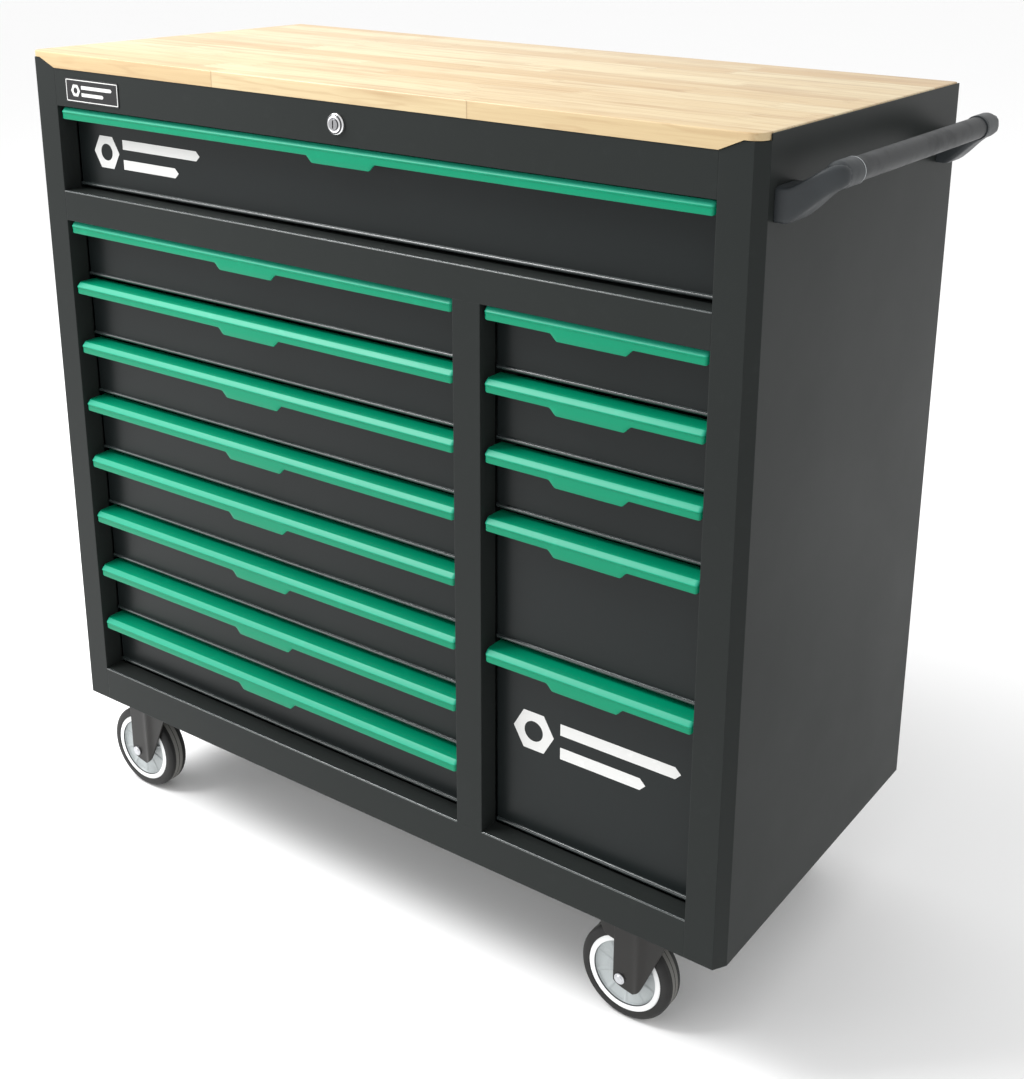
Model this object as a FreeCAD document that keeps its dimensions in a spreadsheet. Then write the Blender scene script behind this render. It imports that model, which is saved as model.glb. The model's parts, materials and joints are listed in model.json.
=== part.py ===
"""Rolling tool chest: steel cabinet, fourteen drawers on slides, wood top, side handle, four casters.

Millimetres.  +Z is up, the drawers open towards -Y and X runs from left to right.  The origin is on the
floor, in the middle of the space that the whole chest takes up.  Every piece is laid out in "cabinet
coordinates" (x from the left side, y back from the front face, z up from the floor) and then moved to
that origin by its Placement.
"""
import FreeCAD, Part
import math
import os
import Sketcher
from FreeCAD import Vector

SIZES = {
    # cabinet shell
    "width": 1067.0,
    "depth": 498.0,
    "shell": 1.2,
    "stile": 47.0,
    "corner_x": 9.6,
    "corner_y": 15.8,
    "back_lip": 22.0,
    "column_rise": 11.3,
    "column_slope": 27.0,
    "panel_drop": 1.6,
    # face frame
    "bottom_rail": 49.1,
    "mid_rail": 39.7,
    "top_rail": 48.0,
    "centre_stile": 38.0,
    "recess": 28.0,
    # wood top
    "wood": 19.5,
    "wood_gap": 0.6,
    "wood_lip": 1.0,
    "wood_round": 1.5,
    # drawers
    "top_opening": 111.5,
    "left_opening": 649.4,
    "pitch": 83.3,
    "drawer_steel": 1.0,
    "drawer_back_gap": 42.6,
    "side_gap": 3.0,
    "front_lift": 4.5,
    "front_flange": 10.0,
    "bead_out": 2.4,
    "bead_height": 4.2,
    "floor_lift": 9.0,
    "wall_drop": 31.3,
    # slides
    "slide_room": 13.0,
    "slide_inset": 16.0,
    "slide_back_gap": 9.0,
    "slide_steel": 1.2,
    "outer_height": 36.0,
    "outer_depth": 9.5,
    "inner_height": 27.0,
    "inner_depth": 9.0,
    "slide_above_floor": 20.0,
    # pulls
    "pull_drop": 2.4,
    "pull_wall": 1.8,
    "pull_height": 15.0,
    "pull_nose": 2.0,
    "pull_slant": 6.5,
    "pull_step": 0.8,
    "pull_gap": 3.0,
    "pull_seat": 8.0,
    "tab_depth": 8.0,
    "tab_width": 86.0,
    "tab_slope": 9.0,
    # posts that carry the slides
    "post_width": 34.0,
    "post_start": 70.0,
    "post_gap": 0.5,
    # casters
    "wheel_clear": 19.0,
    "caster_side": 105.4,
    "caster_edge": 55.0,
    "trail": 42.6,
    "wheel_radius": 62.5,
    "tread": 32.0,
    "tyre_depth": 12.0,
    "tyre_shoulder": 6.0,
    "hub_radius": 16.0,
    "hub_width": 36.0,
    "web": 8.0,
    "axle_radius": 4.0,
    "axle_fit": 0.06,
    "axle_head": 6.0,
    "rim_wall": 3.0,
    "leg": 3.0,
    "leg_gap": 1.5,
    "leg_left": 9.5,
    "leg_heel": 3.2,
    "leg_heel_drop": 12.4,
    "leg_toe": 11.4,
    "leg_foot_drop": 15.2,
    "leg_shin": 21.8,
    "crown_radius": 30.0,
    "crown_height": 6.0,
    "race_radius": 26.0,
    "race_height": 6.0,
    "race_gap": 0.4,
    "king_radius": 6.0,
    "plate": 4.0,
    "plate_length": 104.0,
    "plate_width": 80.0,
    "plate_bolt": 4.0,
    "bolt_head": 8.0,
    "head_height": 4.0,
    "bolt_inset": 10.0,
    "lever_rise": 6.8,
    "lever_clear": 2.2,
    "lever_wall": 2.5,
    "lever_barrel": 4.0,
    "lever_pin": 2.0,
    # handle
    "handle_reach": 50.0,
    "handle_front": 27.0,
    "handle_back": 5.0,
    "handle_drop": 71.2,
    "handle_rise": 30.0,
    "base_height": 36.0,
    "base_length": 51.0,
    "base_block": 14.0,
    "handle_lean": 14.0,
    "collar_wall": 3.5,
    "arm_end_height": 23.8,
    "arm_end_inset": 4.7,
    "tube_radius": 10.5,
    "grip_wall": 2.0,
    "tube_insert": 30.0,
    # lock
    "lock_radius": 12.5,
    "lock_reach": 5.0,
    "barrel_radius": 9.5,
    "barrel_length": 22.0,
    "plug_radius": 6.5,
    "plug_reach": 1.2,
    "cam_gap": 0.3,
    "key_slot": 1.6,
    "key_height": 9.1,
    "cam_length": 16.0,
    "cam_thick": 2.0,
}

LEFT_ROWS = (1, 1, 1, 1, 1, 1, 1, 1)
RIGHT_ROWS = (1, 1, 1, 2, 3)
CUT_ROOM = 5.0  # how far a cutting shape runs past the piece that it cuts
LEVER_ANGLE = 45.0  # how far round the tyre, down from its top, the brake pedal's curve starts

doc = FreeCAD.newDocument("RollingToolChest")
sheet = doc.addObject("Spreadsheet::Sheet", "Sizes")
for row, (alias, number) in enumerate(SIZES.items(), start=1):
    sheet.set("A%d" % row, alias)
    sheet.set("B%d" % row, str(number))
    sheet.setAlias("B%d" % row, alias)
doc.recompute()


class Size:
    """A length that carries its number and the spreadsheet expression that it comes from."""

    def __init__(self, text, number):
        self.text = text
        self.number = number

    @staticmethod
    def of(value):
        return value if isinstance(value, Size) else Size("%.10g" % value, float(value))

    def _with(self, sign, other, number):
        return Size("(%s %s %s)" % (self.text, sign, other.text), number)

    def __add__(self, other):
        other = Size.of(other)
        return self._with("+", other, self.number + other.number)

    def __sub__(self, other):
        other = Size.of(other)
        return self._with("-", other, self.number - other.number)

    def __mul__(self, other):
        other = Size.of(other)
        return self._with("*", other, self.number * other.number)

    def __truediv__(self, other):
        other = Size.of(other)
        return self._with("/", other, self.number / other.number)

    def __radd__(self, other):
        return Size.of(other) + self

    def __rsub__(self, other):
        return Size.of(other) - self

    def __rmul__(self, other):
        return Size.of(other) * self

    def __neg__(self):
        return Size.of(0) - self


class Sheet:
    """Reads the sizes by name, so that size.width stands for the cell called width."""

    def __getattr__(self, alias):
        return Size("Sizes." + alias, float(sheet.get(alias)))


size = Sheet()
subparts = {}


# ---------------------------------------------------------------- helpers
def bind(obj, **sizes):
    """Ties properties of an object to sizes; dots in property paths are written as double underscores."""
    for path, value in sizes.items():
        obj.setExpression(path.replace("__", "."), Size.of(value).text)


def place(obj, x=0, y=0, z=0):
    bind(obj, Placement__Base__x=x, Placement__Base__y=y, Placement__Base__z=z)
    return obj


def box(name, x, y, z, length, width, height):
    obj = doc.addObject("Part::Box", name)
    bind(obj, Length=length, Width=width, Height=height)
    return place(obj, x, y, z)


AXIS_TURN = {
    "x": FreeCAD.Rotation(Vector(0, 1, 0), 90),
    "y": FreeCAD.Rotation(Vector(1, 0, 0), -90),
    "z": FreeCAD.Rotation(),
}


def rod(name, axis, x, y, z, radius, length):
    """A cylinder that starts at the point and runs along +axis."""
    obj = doc.addObject("Part::Cylinder", name)
    obj.Placement = FreeCAD.Placement(Vector(), AXIS_TURN[axis])
    bind(obj, Radius=radius, Height=length)
    return place(obj, x, y, z)


def hexagon(name, axis, x, y, z, radius, length):
    obj = doc.addObject("Part::Prism", name)
    obj.Polygon = 6
    obj.Placement = FreeCAD.Placement(Vector(), AXIS_TURN[axis])
    bind(obj, Circumradius=radius, Height=length)
    return place(obj, x, y, z)


def fuse(name, *pieces):
    obj = doc.addObject("Part::MultiFuse", name)
    obj.Shapes = list(pieces)
    obj.Refine = True
    return obj


def cut(name, base, *tools):
    obj = doc.addObject("Part::Cut", name)
    obj.Base = base
    obj.Tool = tools[0] if len(tools) == 1 else fuse(name + "_tools", *tools)
    obj.Refine = True
    return obj


def group(name, pieces):
    obj = doc.addObject("Part::Compound", name)
    obj.Links = list(pieces)
    return obj


def mirrored(name, source, axis, at):
    """A mirror image across the plane that stands square to the axis at the given place."""
    obj = doc.addObject("Part::Mirroring", name)
    obj.Source = source
    obj.Normal = Vector(axis == "x", axis == "y", axis == "z")
    bind(obj, **{"Base__" + axis: at})
    return obj


def new_body(name):
    return doc.addObject("PartDesign::Body", name)


def origin_plane(body, role):
    return next(item for item in body.Origin.OriginFeatures if item.Role == role)


def sketch_on(body, name, role, offset):
    sketch = body.newObject("Sketcher::SketchObject", name)
    sketch.AttachmentSupport = [(origin_plane(body, role), "")]
    sketch.MapMode = "FlatFace"
    bind(sketch, AttachmentOffset__Base__z=offset)
    return sketch


def pin_point(sketch, geometry, end, u, v):
    """Fixes one end of a line, or a circle's centre, at (u, v) from the sketch origin."""
    for kind, axis, value in (("DistanceX", -2, Size.of(u)), ("DistanceY", -1, Size.of(v))):
        if value.text == "0":
            sketch.addConstraint(Sketcher.Constraint("PointOnObject", geometry, end, axis))
        elif value.number < 0:
            index = sketch.addConstraint(Sketcher.Constraint(kind, geometry, end, -1, 1, -value.number))
            sketch.setExpression("Constraints[%d]" % index, (-value).text)
        else:
            index = sketch.addConstraint(Sketcher.Constraint(kind, -1, 1, geometry, end, value.number))
            sketch.setExpression("Constraints[%d]" % index, value.text)


def polygon(body, name, role, points, offset=0):
    """A closed outline of straight lines; each point is a pair of sizes."""
    sketch = sketch_on(body, name, role, offset)
    corners = [Vector(Size.of(u).number, Size.of(v).number, 0) for u, v in points]
    count = len(points)
    for index in range(count):
        sketch.addGeometry(Part.LineSegment(corners[index], corners[(index + 1) % count]), False)
    for index in range(count):
        sketch.addConstraint(Sketcher.Constraint("Coincident", index, 2, (index + 1) % count, 1))
    for index, (u, v) in enumerate(points):
        pin_point(sketch, index, 1, u, v)
    return sketch


def pad(body, name, sketch, length, backwards=False):
    obj = body.newObject("PartDesign::Pad", name)
    obj.Profile = sketch
    obj.Reversed = backwards
    bind(obj, Length=length)
    return obj


def pocket(body, name, sketch, length, backwards=False):
    """Cuts the outline out of the body and makes sure that something was cut."""
    doc.recompute()
    before = body.Shape.Volume
    obj = body.newObject("PartDesign::Pocket", name)
    obj.Profile = sketch
    obj.Reversed = backwards
    bind(obj, Length=length)
    doc.recompute()
    if body.Shape.Volume >= before:
        raise ValueError("%s cuts nothing" % name)
    return obj


def round_edges(body, name, feature, radius, wanted):
    """Fillets the edges whose middle point passes the test."""
    doc.recompute()
    edges = []
    for index, edge in enumerate(feature.Shape.Edges, start=1):
        middle = edge.valueAt((edge.FirstParameter + edge.LastParameter) / 2)
        if wanted(middle):
            edges.append("Edge%d" % index)
    obj = body.newObject("PartDesign::Fillet", name)
    obj.Base = (feature, edges)
    bind(obj, Radius=radius)
    return obj


def channel(name, side, x, y, z, depth, length, height, wall):
    """A slide member: an upright web with a flange above and below, open towards the given side."""
    whole = box(name + "_bar", x, y, z, depth, length, height)
    inside_x = x + wall if side == "right" else x - CUT_ROOM
    inside = box(
        name + "_room", inside_x, y - CUT_ROOM, z + wall,
        depth - wall + CUT_ROOM, length + 2 * CUT_ROOM, height - 2 * wall,
    )
    return cut(name, whole, inside)


def post(name, side, x, y, z, depth, length, height, wall):
    """An upright channel with a flange at the front and at the rear, open towards the given side."""
    whole = box(name + "_bar", x, y, z, depth, length, height)
    inside_x = x + wall if side == "right" else x - CUT_ROOM
    inside = box(
        name + "_room", inside_x, y + wall, z - CUT_ROOM,
        depth - wall + CUT_ROOM, length - 2 * wall, height + 2 * CUT_ROOM,
    )
    return cut(name, whole, inside)


# The chest is centred on the space that it fills: the handle stands out to the right and the
# key plug to the front.
collar_radius = size.tube_radius + size.collar_wall
origin_x = -(size.width + size.handle_reach + collar_radius) / 2
origin_y = -(size.depth - size.lock_reach - size.plug_reach) / 2


def keep(name, obj):
    """Names a finished sub-part and moves it from cabinet coordinates to the chest's own origin."""
    obj.Label = name
    place(obj, origin_x, origin_y, 0)
    subparts[name] = obj


# ---------------------------------------------------------------- levels and columns
axle_level = size.wheel_radius
crown_bottom = 2 * size.wheel_radius + size.wheel_clear
crown_top = crown_bottom + size.crown_height
plate_bottom = crown_top + size.race_height
floor_level = plate_bottom + size.plate
lower_bottom = floor_level + size.bottom_rail
lower_top = lower_bottom + size.pitch * sum(LEFT_ROWS)
upper_bottom = lower_top + size.mid_rail
upper_top = upper_bottom + size.top_opening
rail_top = upper_top + size.top_rail
wood_top_level = rail_top + size.wood
panel_top = wood_top_level - size.panel_drop

column_left = size.stile
column_split = size.stile + size.left_opening
column_right = column_split + size.centre_stile
column_end = size.width - size.stile

drawer_length = size.depth - 2 * size.shell - size.drawer_back_gap - size.recess
slide_start = size.recess + size.slide_inset
slide_length = drawer_length - size.slide_inset - size.slide_back_gap


# ---------------------------------------------------------------- cabinet shell
def side_panel():
    """One bent sheet: stile return, stile face, corner chamfer, side and rear lip."""
    wall = size.shell
    body = new_body("side_panel_left_body")
    outline = [
        (size.stile, size.recess), (size.stile, 0), (size.corner_x, 0), (0, size.corner_y),
        (0, size.depth), (size.back_lip, size.depth), (size.back_lip, size.depth - wall),
        (wall, size.depth - wall), (wall, size.corner_y + wall / 2),
        (size.corner_x + wall / 2, wall), (size.stile - wall, wall), (size.stile - wall, size.recess),
    ]
    plan = polygon(body, "side_plan", "XY_Plane", outline, floor_level)
    pad(body, "side_bend", plan, panel_top - floor_level)
    above_column = [
        (size.stile + CUT_ROOM, rail_top), (size.stile, rail_top),
        (size.stile - size.column_slope, rail_top + size.column_rise),
        (-CUT_ROOM, rail_top + size.column_rise), (-CUT_ROOM, panel_top + CUT_ROOM),
        (size.stile + CUT_ROOM, panel_top + CUT_ROOM),
    ]
    front_cut = polygon(body, "column_top", "XZ_Plane", above_column, CUT_ROOM)
    pocket(body, "column_top_cut", front_cut, size.corner_y + size.shell + CUT_ROOM)
    behind_column = [
        (size.shell, rail_top), (size.stile + CUT_ROOM, rail_top),
        (size.stile + CUT_ROOM, panel_top + CUT_ROOM), (size.shell, panel_top + CUT_ROOM),
    ]
    rear_cut = polygon(body, "return_top", "XZ_Plane", behind_column, -(size.corner_y + size.shell))
    pocket(body, "return_top_cut", rear_cut, size.depth)
    return body


def back_panel():
    inset = size.shell
    sheet_back = box(
        "back_sheet", inset, size.depth - 2 * size.shell, floor_level,
        size.width - 2 * inset, size.shell, rail_top - floor_level,
    )
    return group("back_piece", [sheet_back])


def base_panel():
    """The floor of the cabinet: a shallow pan with its edges turned up, notched round the stile returns."""
    wall = size.shell
    rim = size.bottom_rail / 2
    length = size.width - 2 * wall
    width = size.depth - 3 * wall
    pan = box("base_pan", wall, wall, floor_level, length, width, rim)
    room = box("base_room", 2 * wall, 2 * wall, floor_level + wall, length - 2 * wall, width - 2 * wall, rim)
    corner_width = size.stile + CUT_ROOM
    corner_depth = size.recess + CUT_ROOM
    left = box("base_notch_left", 0, 0, floor_level - CUT_ROOM, corner_width, corner_depth, size.bottom_rail)
    right = box("base_notch_right", size.width - corner_width, 0, floor_level - CUT_ROOM,
                corner_width, corner_depth, size.bottom_rail)
    return cut("base_sheet", pan, room, left, right)


def rail(name, bottom, top, shelf):
    """A front rail: face with a flange turned back at the top and at the bottom."""
    wall = size.shell
    body = new_body(name + "_body")
    section = [
        (0, bottom), (size.recess, bottom), (size.recess, bottom + wall), (wall, bottom + wall),
        (wall, top - wall), (shelf, top - wall), (shelf, top), (0, top),
    ]
    start = polygon(body, name + "_section", "YZ_Plane", section, column_left)
    pad(body, name + "_bend", start, column_end - column_left)
    return body


def bottom_rail():
    """The lowest rail has no lower flange, so that the base pan's rim lies against it."""
    wall = size.shell
    body = new_body("bottom_rail_body")
    section = [
        (0, floor_level), (wall, floor_level), (wall, lower_bottom - wall),
        (size.recess, lower_bottom - wall), (size.recess, lower_bottom), (0, lower_bottom),
    ]
    start = polygon(body, "bottom_rail_section", "YZ_Plane", section, column_left)
    pad(body, "bottom_rail_bend", start, column_end - column_left)
    return body


def centre_stile():
    wall = size.shell
    body = new_body("centre_stile_body")
    left, right = column_split, column_right
    plan = [
        (left, 0), (right, 0), (right, size.recess), (right - wall, size.recess),
        (right - wall, wall), (left + wall, wall), (left + wall, size.recess), (left, size.recess),
    ]
    start = polygon(body, "centre_stile_plan", "XY_Plane", plan, lower_bottom)
    pad(body, "centre_stile_bend", start, lower_top - lower_bottom)
    return body


def deck():
    """The shelf that parts the wide top drawer from the two columns below it."""
    wall = size.shell
    return box(
        "deck_sheet", wall, size.recess, upper_bottom - wall,
        size.width - 2 * wall, size.depth - 2 * wall - size.recess, wall,
    )


def lock_hole():
    centre_x = size.width / 2
    centre_z = (upper_top + rail_top) / 2
    hole_radius = size.barrel_radius + size.axle_fit
    return rod("lock_hole", "y", centre_x, -CUT_ROOM, centre_z, hole_radius, 3 * CUT_ROOM)


def build_shell():
    left = side_panel()
    keep("side_panel_left", group("side_left", [left]))
    keep("side_panel_right", group("side_right", [mirrored("side_right_image", left, "x", size.width / 2)]))
    keep("back_panel", back_panel())
    keep("base_panel", base_panel())
    top_rail = cut("top_rail_drilled", rail("top_rail", upper_top, rail_top, size.recess * 2), lock_hole())
    mid_rail = rail("mid_rail", lower_top, upper_bottom, size.recess)
    keep("face_frame", group("frame_pieces", [top_rail, mid_rail, bottom_rail(), centre_stile(), deck()]))


def build_wood_top():
    """A solid slab that rests on the top rail; its front corners are notched round the two columns."""
    inset = size.shell + size.wood_gap
    far = size.width - inset
    back = size.depth - size.wood_gap
    nose = inset + size.corner_x
    body = new_body("wood_top")
    turn = size.corner_y + size.wood_gap
    plan = [
        (nose, -size.wood_lip), (size.width - nose, -size.wood_lip), (far, turn),
        (far, back), (inset, back), (inset, turn),
    ]
    slab = pad(body, "slab", polygon(body, "slab_plan", "XY_Plane", plan, rail_top), size.wood)
    gap = size.wood_gap
    notch_depth = size.corner_y + size.shell + gap + size.wood_lip + CUT_ROOM
    for hand in ("left", "right"):
        outline = []
        for run, level in (
            (size.stile + gap, rail_top),
            (size.stile - size.column_slope + gap, rail_top + size.column_rise + gap),
            (-CUT_ROOM, rail_top + size.column_rise + gap), (-CUT_ROOM, rail_top - CUT_ROOM),
            (size.stile + gap, rail_top - CUT_ROOM),
        ):
            outline.append((run if hand == "left" else size.width - run, level))
        notch = polygon(body, "notch_" + hand, "XZ_Plane", outline, size.wood_lip + CUT_ROOM)
        pocket(body, "notch_cut_" + hand, notch, notch_depth)
    top_edge = wood_top_level.number
    last = body.Tip
    round_edges(body, "slab_round", last, size.wood_round, lambda middle: abs(middle.z - top_edge) < 1e-3)
    keep("wood_top", body)


# ---------------------------------------------------------------- slides and the posts that carry them
def build_posts():
    """Upright channels beside each column, front and rear, below and above the deck."""
    wall = size.shell
    low = floor_level + wall
    low_height = upper_bottom - wall - low
    high_height = rail_top - wall - size.post_gap - upper_bottom
    side_depth = column_left - 2 * wall
    centre_depth = size.centre_stile / 2 - size.post_gap
    rear = 2 * slide_start + slide_length - size.post_start - size.post_width
    pieces = []
    for place_name, start in (("front", size.post_start), ("rear", rear)):
        stations = [
            ("low_left", "left", 2 * wall, side_depth, low, low_height),
            ("low_centre_left", "right", column_split, centre_depth, low, low_height),
            ("low_centre_right", "left", column_right - centre_depth, centre_depth, low, low_height),
            ("low_right", "right", column_end, side_depth, low, low_height),
            ("high_left", "left", 2 * wall, side_depth, upper_bottom, high_height),
            ("high_right", "right", column_end, side_depth, upper_bottom, high_height),
        ]
        for station, side, x, depth, z, height in stations:
            name = "post_%s_%s" % (place_name, station)
            pieces.append(post(name, side, x, start, z, depth, size.post_width, height, wall))
    keep("runner_posts", group("post_group", pieces))


def slide_pair(name, side, edge, wall_x, z):
    """The cabinet member against the opening's edge, and the drawer member on the drawer wall inside it."""
    steel = size.slide_steel
    middle = z + size.slide_above_floor
    if side == "left":
        outer_x, outer_open, inner_x, inner_open = edge, "right", wall_x - size.inner_depth, "left"
    else:
        outer_x, outer_open, inner_x, inner_open = edge - size.outer_depth, "left", wall_x, "right"
    outer = channel(
        name + "_outer", outer_open, outer_x, slide_start, middle - size.outer_height / 2,
        size.outer_depth, slide_length, size.outer_height, steel,
    )
    inner = channel(
        name + "_inner", inner_open, inner_x, slide_start, middle - size.inner_height / 2,
        size.inner_depth, slide_length, size.inner_height, steel,
    )
    return outer, inner


# ---------------------------------------------------------------- drawers
def build_pull(name, left, right, top):
    """An extruded edge pull: flat top, slanted nose, upright lip with a wider finger tab in the middle."""
    wall = size.pull_wall
    nose = size.pull_nose
    slant = size.pull_slant
    step = nose + size.pull_step
    lowest = top - size.pull_height - size.tab_depth
    start = left + size.pull_gap
    length = right - left - 2 * size.pull_gap
    body = new_body(name)
    section = [
        (size.recess + size.pull_seat, top), (nose + slant, top), (nose, top - slant),
        (nose, top - slant - wall), (step, top - slant - wall - size.pull_step), (step, lowest),
        (step + wall, lowest), (step + wall, top - slant - wall / 2),
        (nose + slant + wall / 2, top - wall), (size.recess + size.pull_seat, top - wall),
    ]
    pad(body, name + "_bar", polygon(body, name + "_section", "YZ_Plane", section, start), length)
    middle = (left + right) / 2
    lip = top - size.pull_height
    half = size.tab_width / 2
    for hand, sign in (("left", -1), ("right", 1)):
        end = middle + sign * (length / 2 + CUT_ROOM)
        outline = [
            (end, lip), (middle + sign * (half + size.tab_slope), lip), (middle + sign * half, lowest),
            (middle + sign * half, lowest - CUT_ROOM), (end, lowest - CUT_ROOM),
        ]
        trim = polygon(body, "%s_trim_%s" % (name, hand), "XZ_Plane", outline, 0)
        pocket(body, "%s_trim_cut_%s" % (name, hand), trim, step + wall + CUT_ROOM, False)
    keep(name, body)


def build_drawer(label, left, right, bottom, height):
    """A folded steel tray with its front sheet, the beads along its foot, and a slide member on each side."""
    steel = size.drawer_steel
    name = "drawer_" + label
    top = bottom + height
    wall_height = height - size.wall_drop
    front_left = left + size.side_gap
    front_width = right - left - 2 * size.side_gap
    front_bottom = bottom + size.front_lift
    front_top = top - size.pull_drop - size.pull_wall
    sheet_front = box(
        name + "_front", front_left, size.recess, front_bottom, front_width, steel, front_top - front_bottom
    )
    flange = box(
        name + "_flange", front_left, size.recess, front_top - steel, front_width, size.front_flange, steel
    )
    bead = box(
        name + "_bead", front_left, size.recess - size.bead_out, front_bottom,
        front_width, size.bead_out + steel, size.bead_height,
    )
    tray_left = left + size.slide_room
    tray_width = right - left - 2 * size.slide_room
    tray_floor = bottom + size.floor_lift
    tray = box(
        name + "_outside", tray_left, size.recess, tray_floor, tray_width, drawer_length, wall_height
    )
    hollow = box(
        name + "_hollow", tray_left + steel, size.recess + steel, tray_floor + steel,
        tray_width - 2 * steel, drawer_length - 2 * steel, wall_height + CUT_ROOM,
    )
    folded = fuse(name + "_folded", sheet_front, flange, bead, cut(name + "_tray", tray, hollow))
    left_outer, left_inner = slide_pair(name + "_slide_left", "left", left, tray_left, tray_floor)
    right_outer, right_inner = slide_pair(
        name + "_slide_right", "right", right, tray_left + tray_width, tray_floor
    )
    keep(name, group(name + "_pieces", [folded, left_inner, right_inner]))
    build_pull("pull_" + label, left, right, top - size.pull_drop)
    return [left_outer, right_outer]


def build_drawers():
    runners = build_drawer("top", column_left, column_end, upper_bottom, size.top_opening)
    for column, rows, left, right in (
        ("left", LEFT_ROWS, column_left, column_split),
        ("right", RIGHT_ROWS, column_right, column_end),
    ):
        level = lower_top
        for number, rows_high in enumerate(rows, start=1):
            height = size.pitch * rows_high
            level = level - height
            runners += build_drawer("%s_%d" % (column, number), left, right, level, height)
    keep("cabinet_runners", group("runner_group", runners))


# ---------------------------------------------------------------- casters
CORNERS = {
    "front_left": (size.caster_side, size.caster_edge),
    "front_right": (size.width - size.caster_side, size.caster_edge),
    "rear_left": (size.caster_side, size.depth - size.caster_edge),
    "rear_right": (size.width - size.caster_side, size.depth - size.caster_edge),
}
leg_inner = size.hub_width / 2 + size.leg_gap
leg_outer = leg_inner + size.leg


def build_fork(corner, x, y):
    """Swivel fork: crown and king pin on top, two tapered legs, and the holes for the axle."""
    name = "fork_" + corner
    axle_x = x - size.trail
    body = new_body(name)
    legs = [
        (axle_x - size.leg_left, crown_top), (axle_x - size.leg_left, axle_level),
        (axle_x - size.leg_heel, axle_level - size.leg_heel_drop),
        (axle_x + size.leg_toe, axle_level - size.leg_foot_drop),
        (axle_x + size.leg_shin, axle_level - size.leg_left),
        (x + size.crown_radius, crown_bottom), (x + size.crown_radius, crown_top),
    ]
    start = polygon(body, name + "_outline", "XZ_Plane", legs, leg_outer - y)
    pad(body, name + "_block", start, 2 * leg_outer, backwards=True)
    between = [
        (axle_x - size.leg_left - CUT_ROOM, 0), (x + size.crown_radius + CUT_ROOM, 0),
        (x + size.crown_radius + CUT_ROOM, crown_bottom), (axle_x - size.leg_left - CUT_ROOM, crown_bottom),
    ]
    gap = polygon(body, name + "_between", "XZ_Plane", between, leg_inner - y)
    pocket(body, name + "_gap", gap, 2 * leg_inner, backwards=False)
    hole = rod(name + "_hole", "y", axle_x, y - leg_outer - CUT_ROOM, axle_level,
               size.axle_radius + size.axle_fit, 2 * (leg_outer + CUT_ROOM))
    tools = [hole]
    if corner == "front_right":
        pivot_x, pivot_z = lever_pivot(axle_x)
        tools.append(rod(name + "_lever_hole", "y", pivot_x, y - leg_outer - CUT_ROOM, pivot_z,
                         size.lever_pin + size.axle_fit, 2 * (leg_outer + CUT_ROOM)))
    race = rod(name + "_race", "z", x, y, crown_top, size.race_radius, size.race_height - size.race_gap)
    king_top = size.plate + size.race_height - size.race_gap
    king = rod(name + "_king", "z", x, y, crown_top, size.king_radius, king_top)
    keep(name, cut(name + "_drilled", fuse(name + "_whole", body, race, king), *tools))


def build_wheel(corner, x, y):
    """Moulded hub with a thin web and a rim, the tyre round it, and the bolt that carries it."""
    axle_x = x - size.trail
    z = axle_level
    rim_radius = size.wheel_radius - size.tyre_depth
    tread_start = y - size.tread / 2
    name = "wheel_core_" + corner
    rim = rod(name + "_rim", "y", axle_x, tread_start, z, rim_radius, size.tread)
    dish_depth = (size.tread - size.web) / 2
    dish_radius = rim_radius - size.rim_wall
    front_dish = rod(name + "_front_dish", "y", axle_x, tread_start, z, dish_radius, dish_depth)
    rear_dish = rod(name + "_rear_dish", "y", axle_x, y + size.web / 2, z, dish_radius, dish_depth)
    hub = rod(name + "_hub", "y", axle_x, y - size.hub_width / 2, z, size.hub_radius, size.hub_width)
    bore = rod(name + "_bore", "y", axle_x, y - size.hub_width, z,
               size.axle_radius + size.axle_fit, 2 * size.hub_width)
    dished = cut(name + "_dished", rim, front_dish, rear_dish)
    keep(name, cut(name + "_bored", fuse(name + "_whole", dished, hub), bore))

    name = "tyre_" + corner
    tyre = rod(name + "_tread", "y", axle_x, tread_start, z, size.wheel_radius, size.tread)
    seat = rod(name + "_seat", "y", axle_x, tread_start - CUT_ROOM, z, rim_radius, size.tread + 2 * CUT_ROOM)
    ring = cut(name + "_ring", tyre, seat)
    doc.recompute()
    rounded = doc.addObject("Part::Fillet", name + "_rounded")
    rounded.Base = ring
    shoulder = size.tyre_shoulder.number
    outer_edges = [
        (index, shoulder, shoulder)
        for index, edge in enumerate(ring.Shape.Edges, start=1)
        if isinstance(edge.Curve, Part.Circle) and edge.Curve.Radius > size.wheel_radius.number - 1e-3
    ]
    rounded.Edges = outer_edges
    keep(name, rounded)

    name = "axle_bolt_" + corner
    shank = rod(name + "_shank", "y", axle_x, y - leg_outer, z, size.axle_radius, 2 * leg_outer)
    head = hexagon(name + "_head", "y", axle_x, y - leg_outer - size.axle_head, z,
                   size.bolt_head, size.axle_head)
    nut = hexagon(name + "_nut", "y", axle_x, y + leg_outer, z, size.bolt_head, size.axle_head)
    keep(name, fuse(name + "_whole", shank, head, nut))


def lever_pivot(axle_x):
    return axle_x - size.axle_radius, axle_level + size.wheel_radius + size.lever_clear + size.lever_rise


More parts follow.
